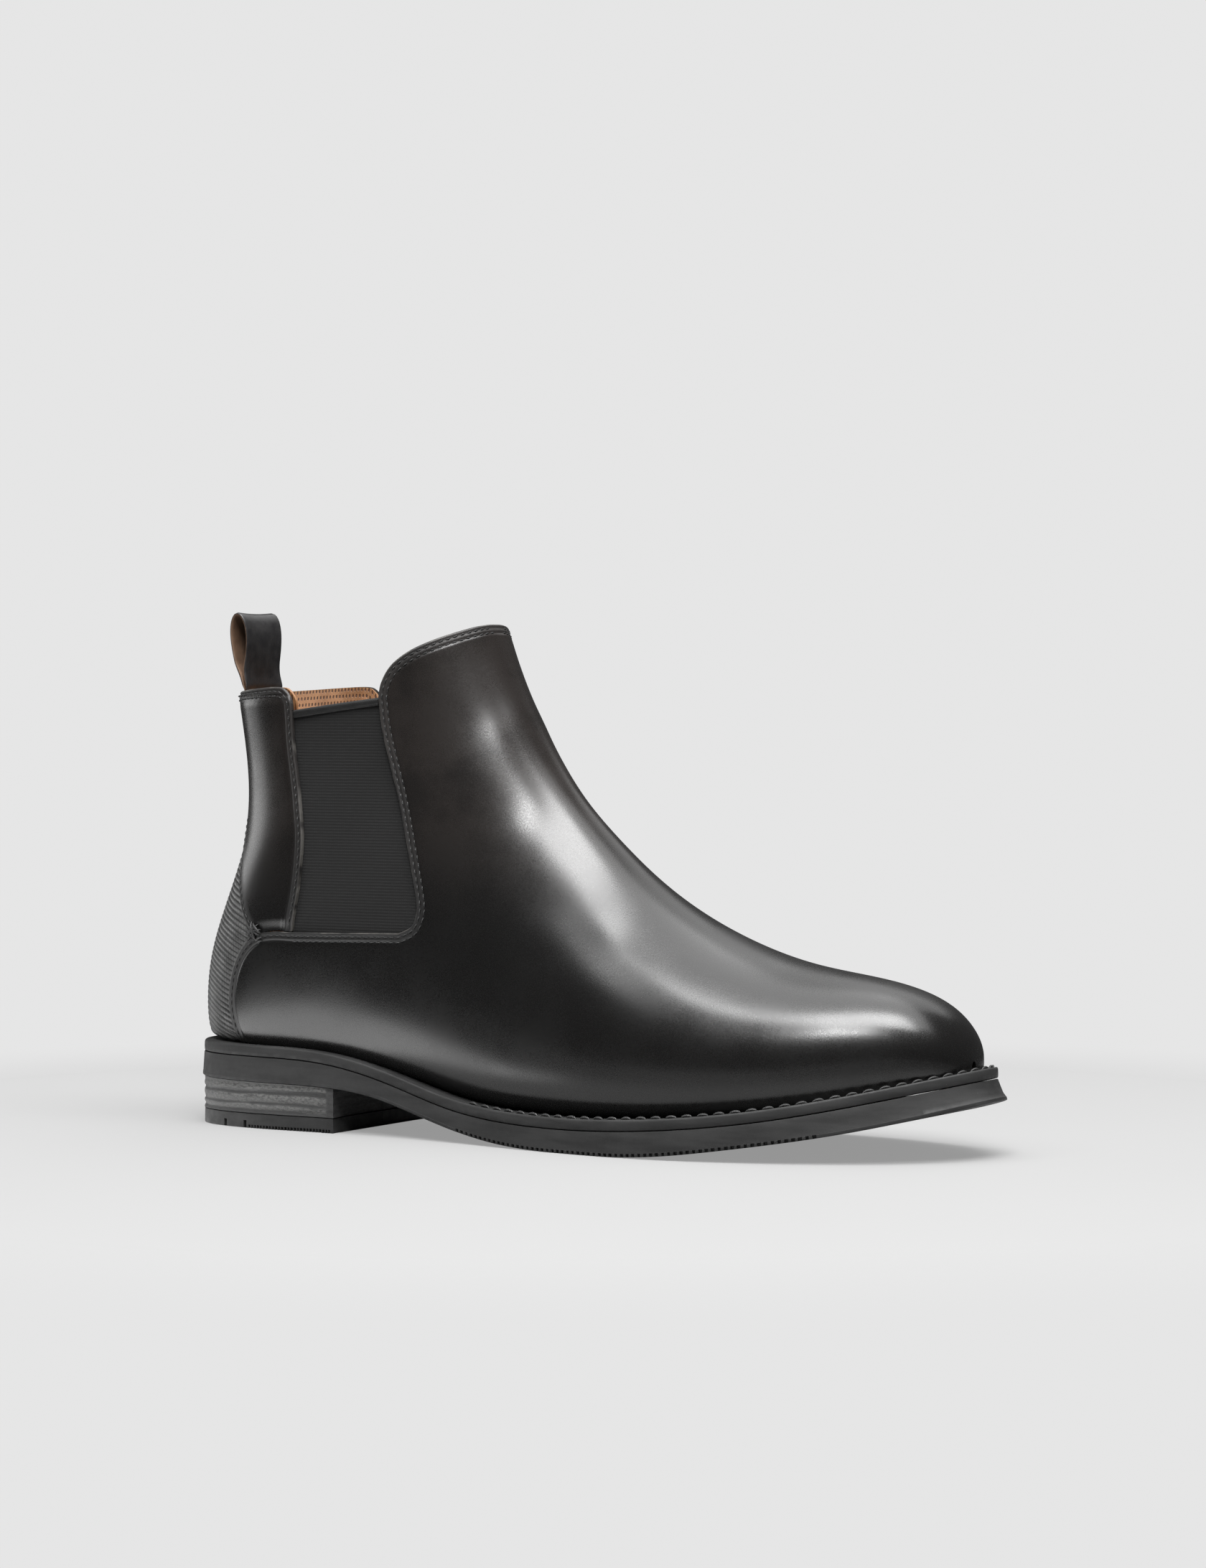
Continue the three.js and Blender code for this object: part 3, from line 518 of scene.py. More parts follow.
class Nodes:
    """Short calls for building one material's nodes."""

    def __init__(self, name, colour, roughness, **sockets):
        self.material = bpy.data.materials.new(name)
        self.material.use_nodes = True
        self.tree = self.material.node_tree
        self.shader = self.tree.nodes["Principled BSDF"]
        self.shader.inputs["Base Color"].default_value = rgba(colour)
        self.shader.inputs["Roughness"].default_value = roughness
        for socket, value in sockets.items():
            self.shader.inputs[socket.replace("_", " ")].default_value = value
        self.material.diffuse_color = rgba(colour)

    def add(self, kind, **settings):
        node = self.tree.nodes.new("ShaderNode" + kind)
        for key, value in settings.items():
            if hasattr(node, key):
                setattr(node, key, value)
            else:
                node.inputs[key.replace("_", " ")].default_value = value
        return node

    def join(self, source, target):
        self.tree.links.new(source, target)

    def place(self, scale=(1, 1, 1)):
        """Object coordinates in millimetres, stretched by a scale."""
        coordinates = self.add("TexCoord")
        mapping = self.add("Mapping")
        mapping.inputs["Scale"].default_value = [1000 * value for value in scale]
        self.join(coordinates.outputs["Object"], mapping.inputs["Vector"])
        return mapping.outputs["Vector"]

    def noise(self, where, size, detail=3.0, roughness=0.55):
        """A noise whose features are about size millimetres wide."""
        node = self.add("TexNoise", Scale=1 / size, Detail=detail, Roughness=roughness)
        self.join(where, node.inputs["Vector"])
        return node.outputs["Fac"]

    def cells(self, where, size):
        """The distance from the nearest of a field of scattered points."""
        node = self.add("TexVoronoi", Scale=1 / size)
        self.join(where, node.inputs["Vector"])
        return node.outputs["Distance"]

    def waves(self, where, pitch, direction, distortion):
        """Bands with a pitch in millimetres."""
        node = self.add("TexWave", bands_direction=direction)
        node.inputs["Scale"].default_value = 2 * math.pi / (20 * pitch)
        node.inputs["Distortion"].default_value = distortion
        node.inputs["Detail"].default_value = 1
        self.join(where, node.inputs["Vector"])
        return node.outputs["Fac"]

    def remap(self, value, low, high, new_low, new_high):
        node = self.add("MapRange", interpolation_type="SMOOTHSTEP")
        for key, number in zip(("From Min", "From Max", "To Min", "To Max"), (low, high, new_low, new_high)):
            node.inputs[key].default_value = number
        self.join(value, node.inputs["Value"])
        return node.outputs["Result"]

    def maths(self, operation, a, b=0.0):
        node = self.add("Math", operation=operation)
        for socket, value in zip(node.inputs, (a, b)):
            if isinstance(value, (int, float)):
                socket.default_value = value
            else:
                self.join(value, socket)
        return node.outputs["Value"]

    def times(self, a, b):
        return self.maths("MULTIPLY", a, b)

    def plus(self, a, b):
        return self.maths("ADD", a, b)

    def axis(self, where, name):
        node = self.add("SeparateXYZ")
        self.join(where, node.inputs[0])
        return node.outputs[name]

    def blend(self, share, a, b):
        """A colour from a to b; both are colours, greys or sockets."""
        node = self.add("Mix", data_type="RGBA")
        for socket, value in ((node.inputs[0], share), (node.inputs[6], a), (node.inputs[7], b)):
            if isinstance(value, (tuple, float)):
                socket.default_value = rgba(value)
            else:
                self.join(value, socket)
        return node.outputs[2]

    def attribute(self, name):
        return self.add("Attribute", attribute_name=name).outputs["Fac"]

    def colour(self, share, a, b):
        self.join(self.blend(share, a, b), self.shader.inputs["Base Color"])

    def rough(self, value, low=None, high=None):
        """Roughness from a socket, or between two values as a noise goes from low to high."""
        if low is not None:
            value = self.remap(value, 0.3, 0.7, low, high)
        self.join(value, self.shader.inputs["Roughness"])

    def bump(self, height, depth, strength=1.0):
        """Adds a relief of a depth in millimetres on top of any relief that is there."""
        node = self.add("Bump", Strength=strength, Distance=depth / 1000)
        self.join(height, node.inputs["Height"])
        normal = self.shader.inputs["Normal"]
        if normal.links:
            self.join(normal.links[0].from_socket, node.inputs["Normal"])
        self.join(node.outputs["Normal"], normal)


def polished_leather():
    """Black box calf: a fine grain, faint pores and creases, matt cut edges, a painted sheen up the shaft and
    rubbed edges with a painted highlight.
    """
    n = Nodes("polished_leather", (0.005, 0.0048, 0.0046), 0.24, Specular_IOR_Level=0.55)
    where = n.place()
    cloud = n.noise(where, 26, 4)
    grain = n.noise(where, 0.55, 4)
    pores = n.cells(where, 0.8)
    edge = n.remap(n.attribute("edge"), 1.6, 4.6, 1, 0)
    gloss = n.plus(n.remap(cloud, 0.3, 0.7, 0.24, 0.3), n.remap(grain, 0.3, 0.8, -0.02, 0.05))
    n.rough(n.plus(gloss, n.times(edge, 0.28)))
    # Painted sheen: the colour turns warmer and paler up the shaft, in patches of the cloud noise.
    painted_shaft_sheen = n.times(n.remap(n.axis(where, "Z"), 70, 125, 0, 1), n.remap(cloud, 0.3, 0.6, 0.4, 1))
    dye_and_painted_sheen = n.blend(painted_shaft_sheen, (0.0042, 0.0040, 0.0039), (0.0135, 0.0112, 0.0102))
    # Paler patches along the cut edges: rubbed wear and a painted edge highlight.
    patches = n.remap(n.noise(where, 9, 2), 0.47, 0.6, 0, 1)
    rubbed_and_highlit_edges = n.times(n.remap(n.attribute("edge"), 0.2, 0.6, 1, 0), patches)
    n.colour(rubbed_and_highlit_edges, dye_and_painted_sheen, (0.055, 0.052, 0.047))
    n.bump(n.noise(where, 11, 2), 0.05, 0.2)
    n.bump(grain, 0.022, 0.45)
    n.bump(n.remap(pores, 0.0, 0.5, 0, 1), 0.02, 0.3)
    return n.material


def ribbed_leather():
    """The embossed heel leather, with a painted highlight on its ribs."""
    n = Nodes("ribbed_leather", 0.02, 0.4, Specular_IOR_Level=0.55)
    where = n.place()
    along = n.maths("SUBTRACT", n.axis(where, "X"), 1000 * float(SHIFT[0]))
    level = n.plus(n.axis(where, "Z"), n.times(along, RIB_FALL))
    ridge = n.maths("ABSOLUTE", n.maths("SINE", n.times(level, math.pi / RIB_PITCH)))
    dots = n.maths("COSINE", n.times(along, 2 * math.pi / 1.3))
    gaps = n.times(n.remap(dots, -1, 1, 0, 0.4), n.attribute("rib"))
    crest = n.times(ridge, n.maths("SUBTRACT", 1.0, gaps))
    grain = n.noise(where, 0.5, 4)
    # Painted highlight: the rib crests are coloured paler, patchy with noise.
    crest_highlight_patches = n.remap(n.noise(where, 6, 2), 0.3, 0.7, 0.5, 1)
    n.colour(n.times(crest, crest_highlight_patches), 0.006, (0.11, 0.11, 0.108))
    n.rough(n.remap(grain, 0.3, 0.8, 0.36, 0.5))
    n.bump(crest, 0.15, 0.5)
    n.bump(grain, 0.04, 0.5)
    n.bump(n.cells(where, 0.7), 0.04, 0.4)
    return n.material


def elastic():
    """Woven elastic: fine ribs across it and cords along it."""
    n = Nodes("elastic", 0.01, 0.86, Sheen_Weight=0.08, Sheen_Roughness=0.5, Specular_IOR_Level=0.25)
    where = n.place()
    ribs = n.waves(where, 1.05, "Z", 0.25)
    cords = n.waves(where, 0.8, "X", 0.5)
    lint = n.noise(where, 1.6, 5, 0.7)
    weave = n.times(ribs, n.remap(cords, 0, 1, 0.55, 1))
    n.colour(n.times(weave, n.remap(lint, 0.35, 0.65, 0.4, 1)), 0.004, 0.015)
    n.rough(lint, 0.8, 0.95)
    n.bump(weave, 0.1, 0.7)
    n.bump(lint, 0.06, 0.6)
    return n.material


def woven_tape():
    n = Nodes("woven_tape", 0.008, 0.6, Specular_IOR_Level=0.35)
    where = n.place()
    twill = n.waves(n.place((1, 1, 0.8)), 0.5, "DIAGONAL", 0.2)
    n.colour(n.noise(where, 2, 3), 0.004, 0.010)
    n.rough(n.noise(where, 3, 3), 0.55, 0.7)
    n.bump(twill, 0.05, 0.5)
    return n.material


def thread():
    n = Nodes("thread", 0.012, 0.5, Specular_IOR_Level=0.45)
    where = n.place()
    strands = n.waves(where, 0.28, "DIAGONAL", 0.3)
    n.colour(strands, 0.006, 0.022)
    n.rough(n.noise(where, 1.5, 2), 0.42, 0.6)
    n.bump(strands, 0.06, 0.8)
    return n.material


def lining_leather():
    """Tan pigskin lining with punched holes near its top edge."""
    n = Nodes("lining_leather", (0.29, 0.14, 0.066), 0.55, Subsurface_Weight=0.04)
    where = n.place()
    cloud = n.noise(where, 7, 4)
    pores = n.cells(where, 1.1)
    tan = n.blend(n.remap(cloud, 0.3, 0.72, 0, 1), (0.15, 0.066, 0.025), (0.26, 0.125, 0.055))
    rows = n.maths("DIVIDE", n.attribute("top"), HOLE_ROW)
    stagger = n.times(n.maths("FLOOR", rows), 0.5)
    columns = n.plus(n.maths("DIVIDE", n.attribute("arc"), HOLE_PITCH), stagger)
    across = n.times(n.maths("SUBTRACT", n.maths("FRACT", columns), 0.5), HOLE_PITCH)
    down = n.times(n.maths("SUBTRACT", n.maths("FRACT", rows), 0.5), HOLE_ROW)
    away = n.maths("SQRT", n.plus(n.maths("POWER", across, 2.0), n.maths("POWER", down, 2.0)))
    in_band = n.maths("LESS_THAN", n.attribute("top"), HOLE_ROW * (HOLE_ROWS + 0.02))
    holes = n.times(n.remap(away, HOLE_RADIUS - 0.15, HOLE_RADIUS + 0.15, 1, 0), in_band)
    # Painted shade: the punched holes are coloured dark brown.
    n.colour(n.remap(holes, 0.35, 0.65, 0, 1), tan, (0.05, 0.02, 0.01))
    n.rough(cloud, 0.48, 0.66)
    n.bump(pores, 0.06, 0.6)
    n.bump(n.noise(where, 0.7, 3), 0.05, 0.5)
    n.bump(n.maths("SUBTRACT", 1.0, holes), 0.25, 0.8)
    return n.material


def pull_webbing():
    """The loop's leather tape: black outside, brown flesh side inside."""
    n = Nodes("pull_webbing", (0.012, 0.012, 0.013), 0.42, Specular_IOR_Level=0.5)
    where = n.place()
    inside = n.attribute("flesh")
    cloud = n.noise(where, 4, 4)
    black = n.blend(cloud, (0.007, 0.007, 0.008), (0.02, 0.019, 0.019))
    brown = n.blend(cloud, (0.05, 0.026, 0.014), (0.17, 0.1, 0.06))
    n.colour(inside, black, brown)
    n.rough(n.plus(n.remap(cloud, 0.3, 0.7, 0.34, 0.5), n.times(inside, 0.3)))
    n.bump(n.noise(where, 0.45, 4), 0.05, 0.6)
    n.bump(n.cells(where, 0.9), 0.03, 0.4)
    return n.material


def sole_rubber():
    """Moulded black rubber with faint flow marks and dust."""
    n = Nodes("sole_rubber", 0.018, 0.6, Specular_IOR_Level=0.3)
    where = n.place()
    flow = n.noise(n.place((0.25, 0.25, 1.6)), 5, 4)
    specks = n.remap(n.cells(where, 4.2), 0.0, 0.055, 1, 0)
    base = n.blend(n.remap(flow, 0.3, 0.7, 0, 1), 0.013, 0.023)
    n.colour(n.times(specks, 0.35), base, 0.14)
    n.rough(n.noise(where, 3, 3), 0.55, 0.7)
    n.bump(n.noise(where, 0.5, 4), 0.04, 0.5)
    n.bump(flow, 0.05, 0.3)
    return n.material


def heel_stack():
    """The heel's layers, brushed paler in three wavy streaks."""
    n = Nodes("heel_stack", 0.05, 0.6)
    where = n.place()
    streak = n.attribute("streak")
    grit = n.noise(n.place((0.5, 0.5, 1.2)), 0.9, 5, 0.7)
    pale = n.times(streak, n.remap(grit, 0.36, 0.6, 0.1, 1))
    n.colour(pale, 0.02, (0.11, 0.11, 0.107))
    n.rough(grit, 0.52, 0.72)
    n.bump(grit, 0.16, 0.8)
    n.bump(n.noise(where, 0.5, 3), 0.05, 0.5)
    return n.material


def fibre_board():
    n = Nodes("fibre_board", (0.36, 0.25, 0.14), 0.85)
    where = n.place((1, 1, 3))
    fibres = n.noise(n.place((0.3, 2.5, 2.5)), 1.5, 5, 0.7)
    n.colour(fibres, (0.27, 0.18, 0.1), (0.45, 0.33, 0.2))
    n.rough(fibres, 0.78, 0.92)
    n.bump(n.noise(where, 0.8, 4), 0.1, 0.6)
    return n.material


def cork():
    n = Nodes("cork", (0.4, 0.24, 0.12), 0.9)
    where = n.place()
    crumbs = n.cells(where, 2.6)
    n.colour(n.remap(crumbs, 0.1, 0.7, 0, 1), (0.5, 0.31, 0.16), (0.22, 0.12, 0.06))
    n.rough(n.remap(crumbs, 0, 1, 0.82, 0.95))
    n.bump(crumbs, 0.3, 0.7)
    return n.material


def foam():
    n = Nodes("foam", (0.68, 0.62, 0.43), 0.95)
    where = n.place()
    cells = n.cells(where, 0.8)
    n.colour(cells, (0.72, 0.66, 0.47), (0.5, 0.44, 0.3))
    n.rough(n.remap(cells, 0, 1, 0.88, 0.98))
    n.bump(cells, 0.25, 0.8)
    return n.material


def steel():
    n = Nodes("steel", (0.42, 0.43, 0.45), 0.35, Metallic=1.0)
    where = n.place((0.12, 1, 1))
    drawn = n.noise(where, 0.5, 4)
    n.colour(drawn, (0.33, 0.34, 0.36), (0.55, 0.56, 0.58))
    n.rough(drawn, 0.28, 0.46)
    n.bump(drawn, 0.03, 0.5)
    return n.material


SLOTS = {build.__name__: build() for build in (
    polished_leather, ribbed_leather, elastic, woven_tape, thread, lining_leather, fibre_board,
    pull_webbing, foam, steel, cork, sole_rubber, heel_stack,
)}


# ---------------------------------------------------------------- the upper's surface

# Edge lengths of the mesh: at an outline, close to it, near it and far from it.
FINE, CLOSE, MIDDLING, COARSE = 0.42, 0.56, 1.4, 2.4
FINE_TO, CLOSE_TO, MIDDLING_TO = 0.9, 4.6, 9  # distances from the outline
UNDER_WELT = 3.0  # how far the upper reaches down behind the welt
INSIDE = (100, 0, 60)  # a place inside the foot
ROWS = (1.5, 3.3)  # stitch rows, from the edge
TONGUE_ROWS = (1.4,)
CHANNEL_DEPTH, CHANNEL_WIDTH = 0.2, 0.55
SIGNS = {"lateral": -1, "medial": 1}

FRONT_VIEW = np.linspace(0, 2 * math.pi, 97)  # round the section, split under the foot
BACK_VIEW = np.linspace(-math.pi, math.pi, 97)  # round the section, split at the ridge


def skin_where(wanted, params, triangles, limit, margin, embed=last_point):
    """The last's skin where a value is above zero, as points, triangles and normals."""
    near = wanted(last_point(params)) > -margin
    triangles = triangles[near[triangles].any(axis=1)]
    params, triangles = refine(params, triangles, embed, limit)
    params, triangles = clip(params, triangles, wanted(last_point(params)))
    points = last_point(params)
    first, triangles = merged(points, triangles)
    points = points[first]
    used, triangles = np.unique(triangles, return_inverse=True)
    points, triangles = points[used], triangles.reshape(-1, 3)
    normals = vertex_normals(points, triangles)
    if (normals * (points - INSIDE)).sum() < 0:
        triangles, normals = triangles[:, ::-1], -normals
    return points, triangles, normals


def over_welt(points):
    return points[:, 2] - welt_top(points[:, 0]) + UNDER_WELT


def one_side(side):
    """A value that is above zero on one side of the boot, up to half a gap from its middle."""
    return lambda points: SIGNS[side] * points[:, 1] - HALF_GAP


def surface(vs, line, *keeps, edges=(), fine=FINE):
    """The last's skin inside a side-view outline, fine near the edges that show."""
    def limit(points):
        near = np.abs(charted(points, line, True))
        for edge in edges:
            near = np.minimum(near, charted(points, edge, False))
        steps = [near < FINE_TO, near < CLOSE_TO, near < MIDDLING_TO]
        return np.select(steps, [fine, CLOSE, MIDDLING], COARSE)

    def wanted(points):
        return np.minimum.reduce([signed_distance(points, line)] + [keep(points) for keep in keeps])

    return skin_where(wanted, *grid(np.linspace(0.004, 1, 56), vs), limit, 12)


def rounded(edge, radius):
    """How far a rounded edge falls, at a distance from the edge."""
    inner = np.clip(radius - edge, 0, radius)
    return radius - np.sqrt(np.maximum(radius ** 2 - inner ** 2, 0))


def channels(edge, rows=ROWS):
    """The grooves that stitch rows press into the leather."""
    return sum(CHANNEL_DEPTH * bump_at(edge, row, CHANNEL_WIDTH) for row in rows)


# Shallow dents and swells where the leather has been flexed: x, y, z, radius and depth.
FLEX_MARKS = [
    (141, -22, 112, 13, 0.55), (150, -26, 101, 11, -0.4), (160, -28, 90, 12, 0.45),
    (173, -30, 79, 11, -0.35), (186, -30, 71, 12, 0.4), (128, -24, 126, 12, -0.35),
    (141, 22, 112, 13, 0.5), (150, 26, 101, 11, -0.4), (160, 28, 90, 12, 0.45),
    (173, 30, 79, 11, -0.35), (118, -30, 96, 18, 0.35), (118, 30, 96, 18, 0.35),
    (196, -34, 62, 13, -0.3), (206, -22, 68, 12, 0.3), (150, 0, 117, 12, 0.35), (168, 0, 99, 11, -0.3),
]
FLEX_SHARE = 0.45  # of those depths, in an almost new boot


def flexed(points):
    depth = np.zeros(len(points))
    for x, y, z, radius, mark in FLEX_MARKS:
        away = ((points - (x, y, z)) ** 2).sum(axis=1)
        depth += mark * np.exp(-away / radius ** 2)
    return FLEX_SHARE * depth


def backwards(run):
    return [tuple(place) for place in run[::-1]]


VAMP_LINE = outline(
    backwards(VAMP_TOP), shifted(GORE_FRONT, HALF_GAP), shifted(GORE_CORNER, HALF_GAP),
    shifted(GORE_BOTTOM, HALF_GAP), shifted(VAMP_WING, HALF_GAP),
    [(24, BELOW), (AHEAD, BELOW)], [(AHEAD, 190), VAMP_TOP[-1]],
)
QUARTER_LINE = outline(
    [(BEHIND, 114.15), (15.6, 114.15)], backwards(shifted(COVER_TONGUE, -HALF_GAP)),
    backwards(shifted(VAMP_WING, -HALF_GAP)[:3]), shifted(GORE_REAR, HALF_GAP)[1:],
    QUARTER_TOP, [QUARTER_TOP[-1], (BEHIND, BACK_EDGE)],
)
COVER_LINE = outline(
    [(BEHIND, 113.9), (15.4, 113.9)], backwards(shifted(COVER_TONGUE, HALF_GAP)),
    shifted(VAMP_WING, -HALF_GAP)[3:], [(24, BELOW), (BEHIND, BELOW)],
)
# The edges that show, each as one line.
VAMP_EDGE = outline(backwards(VAMP_TOP), GORE_FRONT, GORE_CORNER, GORE_BOTTOM, VAMP_WING)
GORE_EDGE = outline(GORE_FRONT, GORE_CORNER, GORE_BOTTOM)
WING_EDGE = outline(GORE_BOTTOM[1:], VAMP_WING)
PANEL_EDGE = outline(GORE_REAR, QUARTER_TOP)
TONGUE_EDGE = outline(COVER_TONGUE)


def goretop(start, end, drop):
    """The elastic's top edge between two values of x, moved down."""
    (rear, low), (front, high) = GORE_REAR[5], GORE_FRONT[0]
    return [(x, low + (high - low) / (front - rear) * (x - rear) - drop) for x in (start, end)]


def layer(name, skin, outer_depth, inner_depth, slot, **attributes):
    """A closed piece between two depths under the last's skin. It stands for the node of its name."""
    points, triangles, normals = skin
    outer, inner = (
        points - normals * np.broadcast_to(depth, len(points))[:, None]
        for depth in (outer_depth, inner_depth))
    body, faces = closed_shell(outer, inner, triangles)
    both = {key: np.tile(value, 2) for key, value in attributes.items()}
    return make("boot_" + name, body, faces, slot, [name], turn=False, sharp=50, attributes=both)


VAMP_ROUND, QUARTER_ROUND, SEAM_ROUND = 0.75, 0.7, 0.5  # radii of the leather's edges
BACK_TOP, BACK_ROLL, BACK_ROLL_SHARE = 153.3, 2.2, 0.32  # the back panels' slightly rolled top
TUCK_START, TUCK_END = 0.5, 5  # distances from the wing, where the leather dives under it
TUCK_DEPTH, TUCK_THICKER = 0.7, 0.6
FOLD_PLACE, FOLD_DEPTH, FOLD_WIDTH = 4.4, 0.12, 0.6  # the inner end of the folded edge shows faintly


def vamp():
    skin = surface(FRONT_VIEW, VAMP_LINE, over_welt)
    points, _, normals = skin
    edge = surface_distance(points, normals, VAMP_EDGE)
    depth = rounded(edge, VAMP_ROUND) + channels(edge) + flexed(points)
    layer("vamp", skin, depth, LEATHER, "polished_leather", edge=edge)


def quarter(side):
    """A back panel. Its foot runs in under the vamp, and its sides are folded and stitched."""
    skin = surface(BACK_VIEW, QUARTER_LINE, one_side(side))
    points, _, normals = skin
    panel, tongue, wing = (
        surface_distance(points, normals, line) for line in (PANEL_EDGE, TONGUE_EDGE, WING_EDGE))
    seam = np.minimum(one_side(side)(points), 9.0)
    edge = np.minimum(panel, tongue)
    tucked = 1 - smoothstep(wing, TUCK_START, TUCK_END)
    depth = rounded(edge, QUARTER_ROUND) + channels(panel) + channels(tongue, TONGUE_ROWS)
    depth += rounded(seam, SEAM_ROUND) + TUCK_DEPTH * tucked
    depth += FOLD_DEPTH * bump_at(panel, FOLD_PLACE, FOLD_WIDTH)
    depth += BACK_ROLL_SHARE * rounded(np.maximum(BACK_TOP - points[:, 2], 0), BACK_ROLL)
    layer(f"quarter_{side}", skin, depth, LEATHER + TUCK_THICKER * tucked, "polished_leather", edge=edge)


RIB_DEPTH = 0.38
RIB_EDGE = 1.1  # edge length of the mesh along the ribs
RIB_STRETCH = 0.3  # how much shorter the edges of the mesh are across the ribs than along them
COVER_TOP, COVER_TUCK = 0.25, 0.5  # depths of its face, and how far it dives at its seams


def rib_level(points):
    """A height that is the same all along one of the heel cover's falling ribs."""
    return points[:, 2] + RIB_FALL * points[:, 0]


def heel_cover():
    """The ribbed leather round the heel, tucked under the vamp's wings and the back panels."""
    def across_ribs(params):
        points = last_point(params)
        return np.column_stack([points[:, 0], points[:, 1], rib_level(points) / RIB_STRETCH])

    def wanted(points):
        return np.minimum(signed_distance(points, COVER_LINE), over_welt(points))

    start = grid(np.linspace(0.3, 0.95, 66), np.linspace(-1.6, 1.6, 64))
    skin = skin_where(wanted, *start, lambda points: np.full(len(points), RIB_EDGE), 6, across_ribs)
    points, _, normals = skin
    seam = np.minimum.reduce([surface_distance(points, normals, line) for line in (WING_EDGE, TONGUE_EDGE)])
    rib = np.abs(np.sin(math.pi * rib_level(points) / RIB_PITCH))
    dotted = smoothstep(points[:, 0], 9, 16) * (1 - smoothstep(points[:, 2], 68, 84))
    depth = COVER_TOP + RIB_DEPTH * (1 - rib) * smoothstep(seam, 0.3, 1.5)
    depth += COVER_TUCK * (1 - smoothstep(seam, 0.8, 6))
    layer("heel_cover", skin, depth, LEATHER + TUCK_THICKER, "ribbed_leather", rib=dotted)


GORE_SLACK, GORE_DISH = 0.12, 0.25  # how unevenly and how far the elastic stands out


def gore(side):
    """Woven elastic let in under the vamp and the back panel."""
    rear, front = GORE_REAR[5][0] - GORE_UNDERLAP, GORE_FRONT[0][0] + GORE_UNDERLAP
    under_front, under_corner, under_foot, under_rear = (
        shifted(run, GORE_UNDERLAP) for run in (GORE_FRONT, GORE_CORNER, GORE_BOTTOM, GORE_REAR))
    line = outline(
        goretop(rear, front, GORE_HEM - 0.6), under_front[1:], under_corner[1:], under_foot[1:],
        under_rear[:5])
    skin = surface(BACK_VIEW, line, one_side(side), fine=1.0)
    points, _, normals = skin
    opening = np.minimum.reduce([surface_distance(points, normals, edge) for edge in (GORE_EDGE, PANEL_EDGE)])
    slack = GORE_SLACK * np.sin(points[:, 2] / 9 + points[:, 0] / 14)
    depth = MIDDLE_TOP + slack * smoothstep(opening, 0, 5) - GORE_DISH * smoothstep(opening, 0, 12)
    piece = layer(f"gore_{side}", skin, depth, MIDDLE_END, "elastic", edge=opening)
    gore_binding(side)


def gore_binding(side):
    """The folded edge tape over the top of the elastic."""
    rear, front = GORE_REAR[5][0] + 0.1, GORE_FRONT[0][0] - 0.1
    line = outline(goretop(rear, front, 0), backwards(goretop(rear, front, GORE_HEM)))
    skin = surface(BACK_VIEW, line, one_side(side))
    points, _, normals = skin
    top, foot = (
        surface_distance(points, normals, np.array(goretop(rear - 9, front + 9, drop)))
        for drop in (0, GORE_HEM))
    fold = rounded(top, 1.0)
    depth = 0.95 + fold + rounded(foot, 0.45) + 0.1 * bump_at(foot, 0.9, 0.3)
    return layer(f"gore_binding_{side}", skin, depth, MIDDLE_END + 0.2 - fold, "woven_tape")


def lowered(run, drop):
    return [(x, z - drop) for x, z in run]


def lining(part):
    """The lining of the vamp or of the quarters, with rows of punched holes under the topline."""
    front = part == "vamp"
    view, gap, far = (FRONT_VIEW, -HALF_GAP, AHEAD) if front else (BACK_VIEW, HALF_GAP, BEHIND)
    edge_line = outline(shifted(LINING_SEAM, gap))
    side = np.concatenate([edge_line, [(far, 200), (far, BELOW)]])
    back_top = [(BEHIND, BACK_EDGE), QUARTER_TOP[-1]]
    top_line = outline(back_top, backwards(QUARTER_TOP), VAMP_TOP)
    below_top = outline(
        lowered(back_top, LINING_DROP), backwards(lowered(QUARTER_TOP, LINING_DROP)),
        lowered(VAMP_TOP, LINING_DROP), [(AHEAD, 190), (AHEAD, BELOW)], [(BEHIND, BELOW), (BEHIND, 100)],
    )
    hole_line = np.array(lowered(top_line, 4))
    skin = surface(
        view, below_top, over_welt, lambda points: signed_distance(points, side), edges=[hole_line], fine=0.9)
    points, _, normals = skin
    top, seam = (surface_distance(points, normals, line) for line in (top_line, edge_line))
    x, y = points[:, 0] - 66, points[:, 1]
    arc = np.arctan2(y, x) * np.hypot(y, x)
    inner_depth = LINING_END - rounded(top, 0.5) + 0.15 * bump_at(seam, 0.9, 0.5) - 0.3 * rounded(seam, 0.5)
    layer(f"{part}_lining", skin, LINING_TOP, inner_depth, "lining_leather", top=top, arc=arc)


# ---------------------------------------------------------------- stitches

STITCH_PITCH, STITCH_LENGTH, STITCH_RADIUS = 2.75, 2.0, 0.25
skin_params, skin_triangles = grid(np.linspace(0.004, 1, 260), np.linspace(0, 2 * math.pi, 260))
SKIN = BVHTree.FromPolygons(last_point(skin_params).tolist(), skin_triangles.tolist())


def dropped(x, z, sign):
    """Where a side-view place lands on one side of the last, and the skin's normal there."""
    place, normal, _, _ = SKIN.ray_cast(Vector((x, sign * 120, z)), Vector((0, -sign, 0)))
    return place, normal


def on_skin(line, sign):
    """Points of a side-view line dropped on one side of the last, with their outward normals."""
    points, normals = [], []
    for x, z in line:
        place, normal = dropped(x, z, sign)
        if place is not None:
            points.append(place)
            normals.append(normal if normal.y * sign > 0 else -normal)
    return np.array(points), np.array(normals)


def row_on_skin(line, inset, sign):
    """A stitch row on the skin, a distance to the left of a side-view line."""
    dense = resampled(np.asarray(line, float), 0.6)
    kept = []
    for place, offset in zip(dense, shifted(dense, 1.0) - dense):
        hit, normal = dropped(*place, sign)
        if hit is not None:
            facing = offset[0] * normal.x + offset[1] * normal.z
            kept.append(place + offset * inset * math.sqrt(max(1 - facing ** 2, 0.09)))
    return on_skin(kept, sign)


